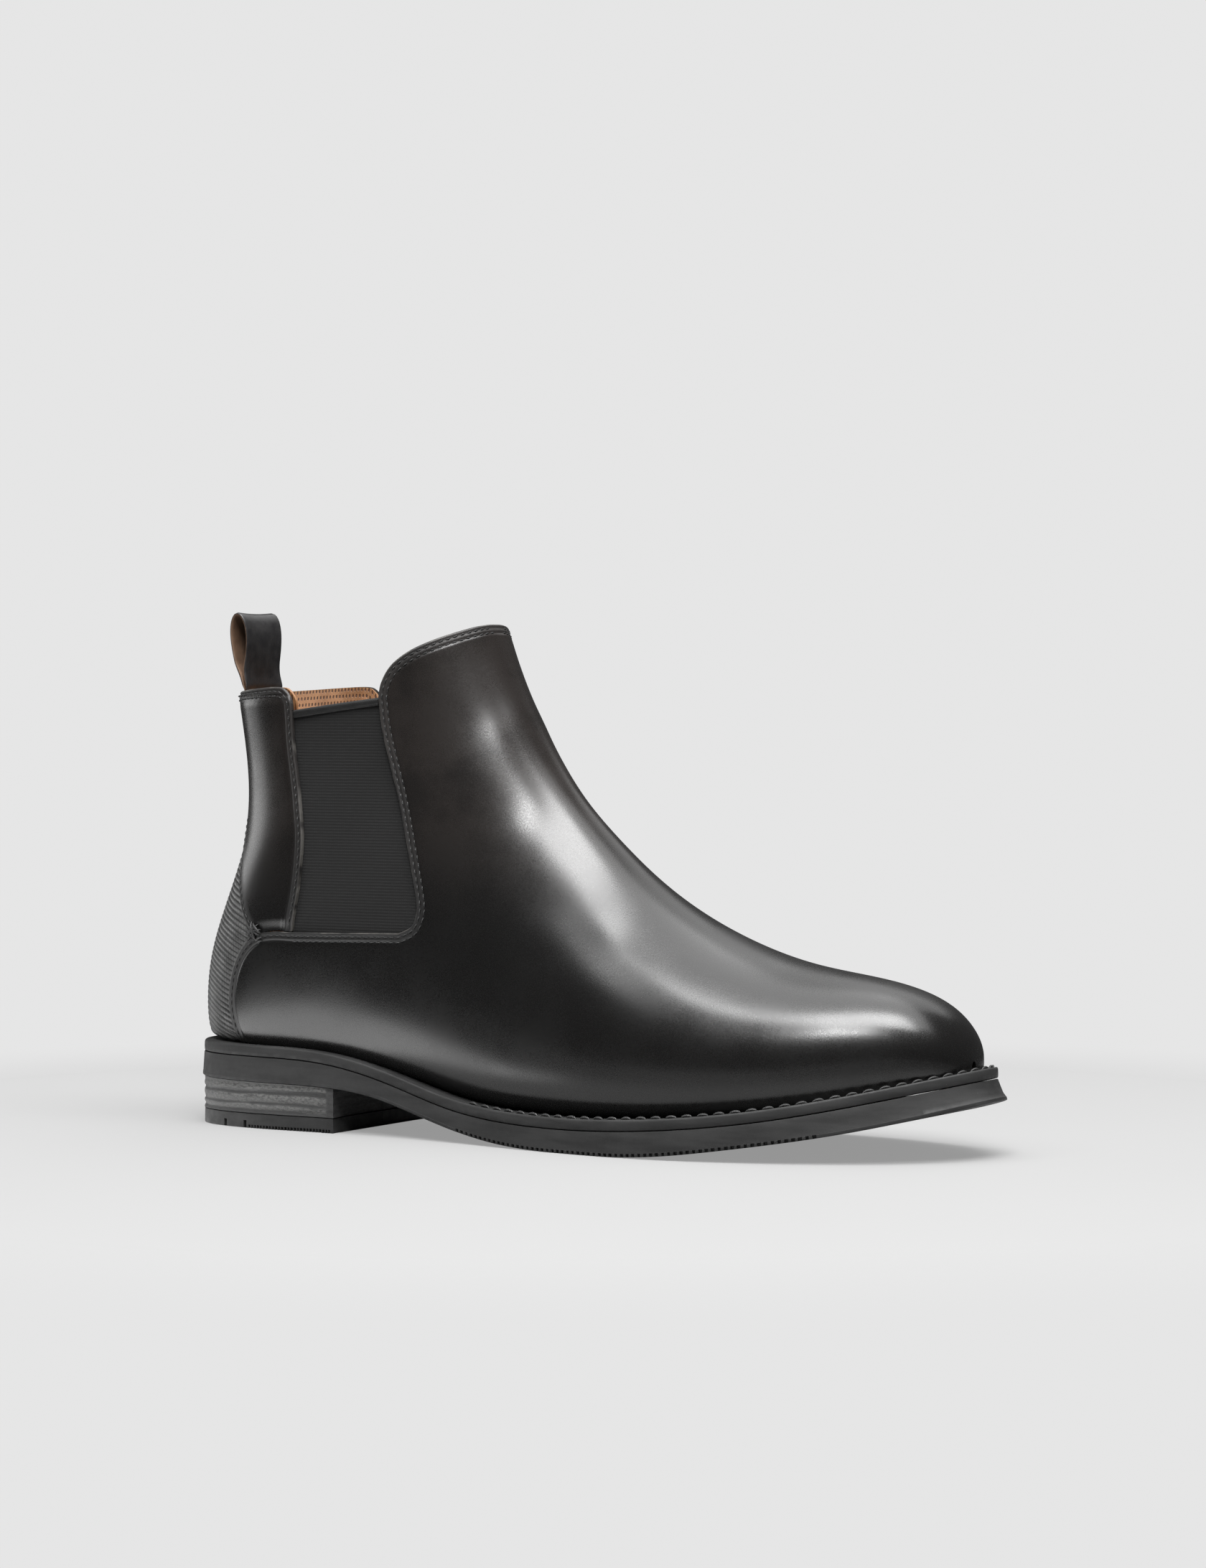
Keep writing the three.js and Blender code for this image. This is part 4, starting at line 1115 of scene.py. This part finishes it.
def capsules(paths, pitch, length, radius, sink=0.3, rise=0.3, sides=6, steps=5):
    """Short threads along paths on a surface; each dips into it at both ends."""
    vertices, faces = [], []
    turn = np.arange(sides) / sides * 2 * math.pi
    arch = np.sin(np.linspace(0, math.pi, steps))
    girth = radius * (0.55 + 0.45 * np.sqrt(arch))[:, None, None]
    tip = steps * sides
    pattern = []
    for corner in range(sides):
        after = (corner + 1) % sides
        for row in range(0, tip - sides, sides):
            pattern.append((row + corner, row + after, row + after + sides, row + corner + sides))
        pattern.append((after, corner, tip))
        pattern.append((tip - sides + corner, tip - sides + after, tip + 1))
    for points, normals in paths:
        along = lengths_along(points)
        for number in range(int(along[-1] // pitch)):
            at = number * pitch + (pitch - length) / 2 + np.linspace(0, length, steps)
            up = read_along(at, along, normals)
            up /= np.linalg.norm(up, axis=1)[:, None]
            place = read_along(at, along, points) + up * (rise * np.sqrt(arch) - sink)[:, None]
            forward = np.gradient(place, axis=0)
            forward /= np.maximum(np.linalg.norm(forward, axis=1), 1e-9)[:, None]
            side = np.cross(forward, up)
            up = np.cross(side, forward)
            around = np.cos(turn)[:, None] * side[:, None] + np.sin(turn)[:, None] * up[:, None]
            start = len(vertices)
            vertices.extend((place[:, None] + girth * around).reshape(-1, 3))
            vertices.extend([place[0] - forward[0] * radius * 0.5, place[-1] + forward[-1] * radius * 0.5])
            faces += [tuple(start + corner for corner in face) for face in pattern]
    return np.array(vertices), faces


def seam_stitches():
    top_and_gore = outline(backwards(VAMP_TOP), GORE_FRONT, GORE_CORNER, GORE_BOTTOM)
    with_wing = np.concatenate([top_and_gore, smooth_run(VAMP_WING)[1:]])
    rows = (
        (with_wing, ROWS[0]), (top_and_gore, ROWS[1]), (PANEL_EDGE, ROWS[0]),
        (smooth_run(QUARTER_TOP[2:]), ROWS[1] - 0.2), (smooth_run(COVER_TONGUE)[:-8], -TONGUE_ROWS[0]),
    )
    paths = [row_on_skin(line, inset, sign) for sign in SIGNS.values() for line, inset in rows]
    threads = capsules(paths, STITCH_PITCH, STITCH_LENGTH, STITCH_RADIUS)
    make("boot_seam_stitches", *threads, "thread", turn=False)


# The crossed stitches that lock the corner of three pieces, in side view.
BARTACK = [
    ((31.4, 71.9), (37.4, 68.4)), ((31.0, 69.6), (37.8, 70.6)), ((33.2, 73.4), (35.6, 66.6)),
    ((30.9, 71.0), (35.0, 67.2)), ((34.0, 73.0), (37.9, 69.2)), ((31.6, 68.0), (36.4, 72.4)),
    ((35.4, 66.4), (38.2, 67.8)), ((36.8, 65.8), (38.6, 66.6)),
]
BARTACK_RADIUS, BARTACK_RISE, BARTACK_STEP = 0.5, 0.75, 0.12  # each thread lies over the last


def bartack(side):
    bodies, all_faces, count = [], [], 0
    for number, (start, end) in enumerate(BARTACK):
        path = on_skin(np.linspace(start, end, 9), SIGNS[side])
        length = lengths_along(path[0])[-1]
        body, faces = capsules(
            [path], length * 0.999, length * 0.96, BARTACK_RADIUS, sink=0.1,
            rise=BARTACK_RISE + BARTACK_STEP * (number % 3), steps=7)
        bodies.append(body)
        all_faces += [tuple(corner + count for corner in face) for face in faces]
        count += len(body)
    name = f"bartack_{side}"
    make("boot_" + name, np.concatenate(bodies), all_faces, "thread", [name], turn=False)


# ---------------------------------------------------------------- the pull loop

LOOP_PIVOT = (15.4, 157.3)
LOOP_LEAN = -0.055
# Half of the loop's side view, outside and inside, from the pivot: x and z.
LOOP_OUTSIDE = [
    (0.7, -1.1), (1.25, 0), (1.7, 3.5), (2.9, 9), (3.8, 14.5), (3.95, 19), (3.2, 22.8), (1.7, 25.1),
    (0, 25.8),
]
LOOP_INSIDE = [(0.05, 0), (0.1, 4), (1.7, 9), (2.65, 14.5), (2.8, 18.8), (2.15, 21.9), (1.1, 24), (0, 24.6)]
TAIL_FOOT, TAIL_OUT, TAIL_IN = 139.0, 0.6, 0.04  # height, and faces from the middle
LOOP_SADDLE, LOOP_WAIST, TAIL_CURL = 0.55, 0.045, 2.2  # how far the tape bends across its width
TAIL_BEND, BACK_LEAN = -4.3, 0.155  # under this height the tails follow the leaning back of the boot


def pull_loop():
    """One tape, from a tail between leather and lining, round the loop and down to the other tail."""
    heights = np.linspace(TAIL_FOOT, LOOP_PIVOT[1] - 1.5, 14) - LOOP_PIVOT[1]
    outside = smooth_run(LOOP_OUTSIDE, 7)
    tail_out, tail_in = (np.column_stack([np.full(len(heights), x), heights]) for x in (TAIL_OUT, TAIL_IN))
    half_out = resampled(np.concatenate([tail_out, outside]), 0.8)
    half_in = divided(np.concatenate([tail_in, smooth_run(LOOP_INSIDE, 8)]), len(half_out) - 1)
    half_out[-1] = outside[-1]
    outer, inner = (np.concatenate([line, line[-2::-1] * (-1, 1)]) for line in (half_out, half_in))
    half = LOOP_WIDTH / 2
    across = half * np.sin(np.linspace(-math.pi / 2, math.pi / 2, 27))
    share = across / half
    edge = np.sqrt(np.maximum(1 - share ** 24, 0)) * 0.6 + 0.4 * (1 - 0.5 * share ** 12)
    rows = []
    middle = (outer + inner) / 2
    for skin in (outer, inner):
        line = middle[:, None] + (skin - middle)[:, None] * edge[None, :, None]
        x, z = line[..., 0], line[..., 1]
        rise = np.clip(z / LOOP_OUTSIDE[-1][1], 0, 1)
        saddle = LOOP_SADDLE * share ** 2 * smoothstep(rise, 0.55, 1.0)
        waist = 1 - LOOP_WAIST * np.sin(math.pi * rise)
        curl = TAIL_CURL * share ** 2 * (1 - smoothstep(z, -3, 9))
        lean = LOOP_LEAN * np.maximum(z, -2) + BACK_LEAN * np.maximum(TAIL_BEND - z, 0)
        place = (LOOP_PIVOT[0] + x + lean + curl, across * waist, LOOP_PIVOT[1] + z + saddle)
        rows.append(np.stack(place, axis=-1))
    count, wide = rows[0].shape[:2]
    points = np.concatenate([row.reshape(-1, 3) for row in rows])
    number = np.arange(count * wide).reshape(count, wide)
    quads = np.stack([number[:-1, :-1], number[1:, :-1], number[1:, 1:], number[:-1, 1:]], axis=-1)
    quads = quads.reshape(-1, 4)
    gap = count * wide
    faces = [quads, quads[:, ::-1] + gap]
    for a, b in ((number[:-1, 0], number[1:, 0]), (number[1:, -1], number[:-1, -1]),
                 (number[0, 1:], number[0, :-1]), (number[-1, :-1], number[-1, 1:])):
        faces.append(np.stack([a, a + gap, b + gap, b], axis=-1))
    piece = make(
        "boot_pull_loop", points, np.concatenate(faces), "pull_webbing", ["pull_loop", "pull_loop_tails"],
        body=None, sharp=55, attributes={"flesh": np.repeat([0.0, 1.0], gap)})
    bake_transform(piece)


# ---------------------------------------------------------------- the bottom

EDGE_FLARE = 0.6  # how far the sole's lower edge stands out
TOE_LEAN = 2.6  # and how much further at the toe
HEEL_LENGTH = 70.5
BREAST_HOLLOW = 1.6
SOLE_TEETH, LIFT_TEETH = 2.2, 1.35  # pitches of the teeth along the lower edges
NOTCH_SHARE = 0.45
BAR_PITCH, BAR_HALF, BAR_DEPTH = 6.5, 0.17, 0.9  # grooves across the tread
STITCH_LINE = 1.9  # of the welt, from its edge


def with_inward(ring):
    """A closed ring of points in plan view and the directions inward from it."""
    along = np.roll(ring, -1, axis=0) - np.roll(ring, 1, axis=0)
    along /= np.linalg.norm(along, axis=1)[:, None]
    return ring, np.stack([-along[:, 1], along[:, 0]], axis=1)


def sole_edge(count):
    """Points evenly spaced round each side of the sole's edge, with their inward directions."""
    points = np.array(SOLE_EDGE, float)
    t = np.linspace(0, len(points), 6001)[:-1]
    i = t.astype(int)
    dense = catmull_rom(*(points[(i + k) % len(points)] for k in (-1, 0, 1, 2)), (t - i)[:, None])
    half = len(dense) // 2
    lateral = divided(dense[:half + 1], count // 2)[:-1]
    medial = divided(np.concatenate([dense[half:], dense[:1]]), count // 2)[:-1]
    return with_inward(np.concatenate([lateral, medial]))


def rings_at(ring, inward, rows):
    """Rings of 3-D points: each row is an inset, a height along x and how far it leans at the toe."""
    rings = []
    for inset, height, lean in rows:
        flat = ring + inward * np.broadcast_to(inset, len(ring))[:, None]
        x = flat[:, 0] + lean * smoothstep(flat[:, 0], 235, 303)
        rings.append(np.stack([x, flat[:, 1], height(flat[:, 0])], axis=1))
    return rings


def walls(rings, close=False):
    """Quads between rings."""
    count, total = len(rings[0]), len(rings)
    number = np.arange(count)
    after = (number + 1) % count
    faces = []
    for row in range(total if close else total - 1):
        low, high = row * count, (row + 1) % total * count
        faces.append(np.stack([low + number, low + after, high + after, high + number], axis=1))
    return np.concatenate(faces)


def ladder(count, start):
    """Rungs across a ring, which close it."""
    faces = []
    for i in range(count // 2):
        corners = dict.fromkeys((i, i + 1, (count - i - 1) % count, (count - i) % count))
        if len(corners) > 2:
            faces.append([start + corner for corner in corners])
    return faces


def stacked(rings):
    """A closed body through rings, from its underside up."""
    count = len(rings[0])
    faces = [tuple(face) for face in walls(rings)]
    faces += [face[::-1] for face in ladder(count, 0)] + ladder(count, (len(rings) - 1) * count)
    return np.concatenate(rings), faces


def above(height, distance):
    return lambda x: height(x) + distance


CHANNEL = -0.22  # the welt's stitch channel
# The welt's section, round from its lower inner corner: insets, and heights from its top.
WELT_SECTION = [
    (11.0, -WELT), (0.35, -WELT), (0.1, -WELT + 0.25), (0.05, -2.2), (0.12, -0.75), (0.3, -0.25),
    (0.62, 0.0), (1.05, 0.03), (1.35, CHANNEL * 0.6), (STITCH_LINE, CHANNEL), (2.5, CHANNEL * 0.6),
    (2.9, 0.0), (5.0, -0.1), (11.0, -0.5),
]


def welt():
    """The moulded welt: a flat ledge with a stitch channel and a bead along its outer edge."""
    rings = rings_at(*sole_edge(900), [(inset, above(welt_top, rise), 0) for inset, rise in WELT_SECTION])
    make("boot_welt", np.concatenate(rings), walls(rings, close=True), "sole_rubber", ["welt"], sharp=55)


WELT_STITCH_PITCH, WELT_STITCH_LENGTH = 5.6, 4.3


def welt_stitching():
    """Thick thread along the welt, from the waist round the toe to the other waist."""
    ring, inward = sole_edge(900)
    flat = ring + inward * STITCH_LINE
    flat = flat[flat[:, 0] > 128]
    path = np.column_stack([flat, welt_top(flat[:, 0])]), np.tile([0.0, 0.0, 1.0], (len(flat), 1))
    threads = capsules(
        [path], WELT_STITCH_PITCH, WELT_STITCH_LENGTH, 0.52, sink=0.35, rise=0.85, sides=8, steps=7)
    make("boot_welt_stitching", *threads, "thread", ["welt_stitching"], turn=False)


def round_edge(ring):
    """How far round its edge each point of a ring lies."""
    return np.cumsum(np.linalg.norm(np.roll(ring, -1, axis=0) - ring, axis=1))


def outsole():
    """The moulded sole: a step under the welt, a plain wall and a serrated lower edge."""
    ring, inward = sole_edge(2600)
    x = ring[:, 0]
    notch = 1.1 * ((round_edge(ring) / SOLE_TEETH) % 1 < NOTCH_SHARE) * (x > 124) * (x < 262)
    bars = BAR_DEPTH * (np.abs((x / BAR_PITCH) % 1 - 0.5) < BAR_HALF) * (x > 128) * (x < 262)
    low = underside
    rows = [  # from the tread up and round to the welt
        (7.2, lambda x: low(x) + bars, TOE_LEAN), (6.2, low, TOE_LEAN), (-0.1, low, TOE_LEAN),
        (-EDGE_FLARE + 0.12 + notch, above(low, 0.08), TOE_LEAN),
        (-EDGE_FLARE + notch, above(low, 0.3), TOE_LEAN),
        (-EDGE_FLARE + 0.05 + notch, above(low, 1.15), TOE_LEAN * 0.93),
        (-EDGE_FLARE + 0.12, above(low, 1.2), TOE_LEAN * 0.92),
        (-0.35, lambda x: low(x) * 0.65 + sole_top(x) * 0.35, TOE_LEAN * 0.55),
        (-0.15, lambda x: low(x) * 0.3 + sole_top(x) * 0.7, TOE_LEAN * 0.2),
        (0.0, above(sole_top, -0.5), 0), (0.14, above(sole_top, -0.1), 0), (0.45, sole_top, 0),
    ]
    make("boot_outsole", *stacked(rings_at(ring, inward, rows)), "sole_rubber", ["outsole"], sharp=40)


def heel_half(edge):
    """One side of the sole's edge back from the breast, with its half of the hollow breast."""
    edge = edge[edge[:, 0] < HEEL_LENGTH]
    corner, width = edge[-1]
    across = np.linspace(width, 0, 400)
    breast = corner - BREAST_HOLLOW * (1 - (across / width) ** 2)
    return np.concatenate([edge, np.column_stack([breast, across])])


def heel_ring(count):
    """Points round the heel's edge, with their inward directions."""
    ring, _ = sole_edge(6000)
    lateral, medial = (divided(heel_half(edge), count // 2) for edge in (ring[:3000], ring[:2999:-1]))
    return with_inward(np.concatenate([lateral, medial[-2:0:-1]]))


def wavy(ring, height, phase):
    """A height that wanders a little round the heel."""
    x, y = ring.T
    return height + 0.22 * np.sin(x / 9 + y / 7 + phase) + 0.12 * np.sin(x / 3.1 + phase * 2)


STREAKS = ((15.2, 1.1), (10.8, 1.25), (7.6, 0.7))  # heights and half widths of the brushed streaks
GROOVES = ((13.2, 0.5), (9.2, 2.0), (6.6, 3.3))  # heights and phases of the grooves between layers
GROOVE_DEPTH, GROOVE_WIDTH = 0.3, 0.5


def heel_block():
    ring, inward = heel_ring(720)
    top = np.maximum(sole_spline(ring[:, 0]) - 0.2, LIFT + 3)
    round_side = 1 - smoothstep(ring[:, 0], HEEL_LENGTH - 4.0, HEEL_LENGTH - 2.6)
    rings, streaks = [], []
    for z in (*np.linspace(LIFT + 0.15, 16.0, 34), 17.4):
        level = np.minimum(z, top)
        groove = sum(GROOVE_DEPTH * bump_at(level, wavy(ring, *edge), GROOVE_WIDTH) for edge in GROOVES)
        inset = 0.15 + groove * round_side + 0.1 * math.sin(z * 2.1)
        rings.append(np.column_stack([ring + inward * inset[:, None], level]))
        pale = sum(
            smoothstep(half + 0.45 - np.abs(level - wavy(ring, centre, number)), 0, 0.6)
            for number, (centre, half) in enumerate(STREAKS))
        streaks.append(np.clip(pale, 0, 1) * round_side)
    attributes = {"streak": np.concatenate(streaks)}
    make("boot_heel_block", *stacked(rings), "heel_stack", ["heel_block"], sharp=45, attributes=attributes)


SLOT_PLACES = (40.8, 50.8)  # along the heel's edge from its back, on both sides
SLOT_WIDTH, SLOT_HEIGHT, SLOT_DEPTH = 1.4, 2.6, 1.8


def top_lift():
    """The rubber lift, with two slots at the back of each side and a serrated lower edge."""
    ring, inward = heel_ring(1040)
    x, y = ring.T
    at = round_edge(ring)
    at -= at[0]
    from_back = np.minimum(at, at[-1] - at)
    slot = sum((np.abs(from_back - place) < SLOT_WIDTH / 2) * SLOT_DEPTH for place in SLOT_PLACES)
    side = (x > 33) & (x < HEEL_LENGTH - 1.7) & (np.abs(y) > 20)
    notch = ((at / LIFT_TEETH) % 1 < NOTCH_SHARE) & side
    bars = BAR_DEPTH * (np.abs((x / BAR_PITCH) % 1 - 0.5) < BAR_HALF) * (y != 0)
    profile = (
        (5.0, bars), (4.2, 0.0), (0.45 + notch, 0.0), (0.2 + notch + slot, 0.12),
        (0.14 + notch + slot, 0.5), (0.14 + notch + slot, 1.15), (0.14 + slot, 1.2),
        (0.15 + slot, SLOT_HEIGHT), (0.15, SLOT_HEIGHT + 0.05), (0.2, LIFT - 0.9), (0.24, LIFT - 0.2),
        (0.55, LIFT),
    )
    rings = [
        np.column_stack([ring + inward * np.asarray(inset)[..., None], np.broadcast_to(z, len(ring))])
        for inset, z in profile
    ]
    make("boot_top_lift", *stacked(rings), "sole_rubber", ["top_lift"], sharp=40)


CUSHION_PLACE, CUSHION_THICK = 38.0, 1.9  # its middle along x, and its thickness
CUSHION_LONG, CUSHION_WIDE = 26.0, 21.0  # half sizes in plan
SOCK_LINER = 2.2  # thickness


def heel_cushion():
    """A crowned foam pad under the sock liner."""
    foot_lift = LINING_END + SOCK_LINER + 4 * HALF_GAP
    radii = np.array([*np.linspace(0, 0.9, 10)[1:], 0.96, 0.99, 1.0])
    turn = np.arange(72) / 72 * 2 * math.pi
    plan = np.stack([np.cos(turn), np.sin(turn)], axis=1)
    plan = np.sign(plan) * np.abs(plan) ** (2 / 2.6) * (CUSHION_LONG, CUSHION_WIDE)
    rows = []
    for side, steps in ((-1, radii), (1, radii[::-1][1:])):
        for radius in steps:
            flat = plan * radius + (CUSHION_PLACE, 0)
            crown = np.sqrt(max(1 - radius ** 6, 0)) * (0.78 + 0.22 * (1 - radius ** 2))
            z = last_bottom(flat[:, 0]) + foot_lift + CUSHION_THICK * (0.5 + 0.5 * side * crown)
            rows.append(np.column_stack([flat, z]))
    faces = [tuple(face) for face in walls(rows)]
    ring = range(len(turn))
    faces += [tuple(ring)[::-1], tuple((len(rows) - 1) * len(turn) + i for i in ring)]
    piece = make("boot_heel_cushion", np.concatenate(rows), faces, "foam", ["heel_cushion"])


# Inner pieces that keep their CAD meshes, by material slot.
HIDDEN = {
    "woven_tape": ["topline_tape_lateral", "topline_tape_medial", "topline_tape_front"],
    "fibre_board": ["toe_puff", "heel_stiffener", "insole_board"],
    "lining_leather": ["sock_liner"],
    "steel": ["shank", "heel_nail_1", "heel_nail_2", "heel_nail_3", "heel_nail_4"],
    "cork": ["cork_filler"],
}


def finish_cad_nodes():
    for slot, nodes in HIDDEN.items():
        for node in nodes:
            piece = bpy.data.objects[node]
            piece.data.materials.clear()
            piece.data.materials.append(SLOTS[slot])


# ---------------------------------------------------------------- camera, floor and lights

BOOT_MIDDLE = (150, 0, 80)
CAMERA_PLACE = (908.4, -1296.4, 157.0)
CAMERA_TURN, CAMERA_PITCH = 30.0, 1.3  # degrees: round from the side view, and down
LENS, SENSOR = 99.2, 36
BACKDROP = 0.79
FLOOR_COLOUR = 0.29  # as the boot reflects it
FLOOR_SEEN = 0.243  # as the camera sees it
SHADOW_LIFT = 0.38  # how much of the backdrop's glow shows in the floor near the boot
FADE_START, FADE_END = 230, 450  # from the middle, where the floor fades into the backdrop
FLOOR_REFLECTED = 0.06  # how bright the faded floor is in reflections, as a share of the backdrop
FLOOR_HALF = 6.0  # metres
POOL_PLACE, POOL_STRENGTH = (-172, -104, 0), 2.6  # a light patch of floor that the heel reflects
POOL_START, POOL_END = 76, 96
ROOM_GREY, ROOM_REFLECTED = 0.3, 0.25  # the room round the boot, and the share that it reflects


def camera():
    data = bpy.data.cameras.new("camera")
    data.lens = LENS
    data.sensor_width = SENSOR
    data.sensor_fit = "AUTO"
    data.clip_start = 0.01
    data.clip_end = 50
    place = bpy.data.objects.new("camera", data)
    place.location = metres([CAMERA_PLACE])[0]
    place.rotation_euler = (math.radians(90 - CAMERA_PITCH), 0, math.radians(CAMERA_TURN))
    bpy.context.scene.collection.objects.link(place)
    bpy.context.scene.camera = place


def floor():
    n = Nodes("floor", FLOOR_COLOUR, 0.9, Specular_IOR_Level=0.1)
    n.rough(n.noise(n.place(), 60, 2), 0.86, 0.94)
    path = n.add("LightPath")
    seen = path.outputs["Is Camera Ray"]
    n.colour(seen, FLOOR_COLOUR, FLOOR_SEEN)
    glow = n.add("Emission", Color=rgba(BACKDROP))
    n.join(n.remap(seen, 0, 1, FLOOR_REFLECTED, 1), glow.inputs["Strength"])
    beside = n.add("VectorMath", operation="DISTANCE")
    n.join(n.place(), beside.inputs[0])
    beside.inputs[1].default_value = POOL_PLACE
    pool = n.remap(beside.outputs["Value"], POOL_START, POOL_END, POOL_STRENGTH, 0)
    n.shader.inputs["Emission Color"].default_value = (1, 1, 1, 1)
    n.join(n.times(pool, path.outputs["Is Glossy Ray"]), n.shader.inputs["Emission Strength"])
    reach = n.add("VectorMath", operation="LENGTH")
    n.join(n.place(), reach.inputs[0])
    mix = n.add("MixShader")
    fade = n.remap(reach.outputs["Value"], FADE_START, FADE_END, 0, 1)
    n.join(n.maths("MAXIMUM", fade, n.times(seen, SHADOW_LIFT)), mix.inputs[0])
    n.join(n.shader.outputs[0], mix.inputs[1])
    n.join(glow.outputs[0], mix.inputs[2])
    n.join(mix.outputs[0], n.tree.nodes["Material Output"].inputs["Surface"])
    mesh = bpy.data.meshes.new("floor")
    corners = [(x * FLOOR_HALF, y * FLOOR_HALF, 0) for x, y in ((-1, -1), (1, -1), (1, 1), (-1, 1))]
    mesh.from_pydata(corners, [], [(0, 1, 2, 3)])
    mesh.materials.append(n.material)
    plane = bpy.data.objects.new("floor", mesh)
    bpy.context.scene.collection.objects.link(plane)


def softbox(name, azimuth, elevation, distance, width, height, power):
    """An area light facing the boot: angles round from +X and up, metres and watts."""
    data = bpy.data.lights.new(name, "AREA")
    data.shape = "RECTANGLE"
    data.size, data.size_y = width, height
    data.energy = power
    light = bpy.data.objects.new(name, data)
    turn, rise = math.radians(azimuth), math.radians(elevation)
    flat = math.cos(rise)
    away = Vector((flat * math.cos(turn), flat * math.sin(turn), math.sin(rise)))
    light.location = Vector(metres([BOOT_MIDDLE])[0]) + away * distance
    light.rotation_euler = away.to_track_quat("Z", "Y").to_euler()
    bpy.context.scene.collection.objects.link(light)


def surroundings():
    world = bpy.data.worlds.new("studio")
    bpy.context.scene.world = world
    world.use_nodes = True
    tree = world.node_tree
    seen = tree.nodes["Background"]
    seen.inputs["Color"].default_value = rgba(BACKDROP)
    dim = tree.nodes.new("ShaderNodeBackground")
    dim.inputs["Color"].default_value = rgba(ROOM_GREY)
    path = tree.nodes.new("ShaderNodeLightPath")
    fill = tree.nodes.new("ShaderNodeMath")
    fill.operation = "MULTIPLY_ADD"
    tree.links.new(path.outputs["Is Glossy Ray"], fill.inputs[0])
    fill.inputs[1].default_value = ROOM_REFLECTED - 1
    fill.inputs[2].default_value = 1
    tree.links.new(fill.outputs[0], dim.inputs["Strength"])
    mix = tree.nodes.new("ShaderNodeMixShader")
    tree.links.new(path.outputs["Is Camera Ray"], mix.inputs[0])
    tree.links.new(dim.outputs[0], mix.inputs[1])
    tree.links.new(seen.outputs[0], mix.inputs[2])
    tree.links.new(mix.outputs[0], tree.nodes["World Output"].inputs["Surface"])


camera()
surroundings()
floor()
softbox("key", -38, 69, 1.6, 1.26, 0.77, 46)
softbox("ceiling", 60, 84, 1.9, 2.2, 2.2, 45)
softbox("quarter_strip", -126, 56, 1.6, 0.3, 0.8, 6)
softbox("rim", 178, 8, 1.6, 0.7, 0.9, 5)
softbox("toe_strip", -62, 46.5, 1.6, 0.6, 0.18, 15)
softbox("far_side", 95, 40, 1.7, 1.0, 0.8, 3)
bpy.context.scene.view_settings.view_transform = "Standard"

vamp()
heel_cover()
for boot_side in ("lateral", "medial"):
    quarter(boot_side)
    gore(boot_side)
    bartack(boot_side)
lining("vamp")
lining("quarter")
seam_stitches()
pull_loop()
welt()
welt_stitching()
outsole()
heel_block()
top_lift()
heel_cushion()
finish_cad_nodes()
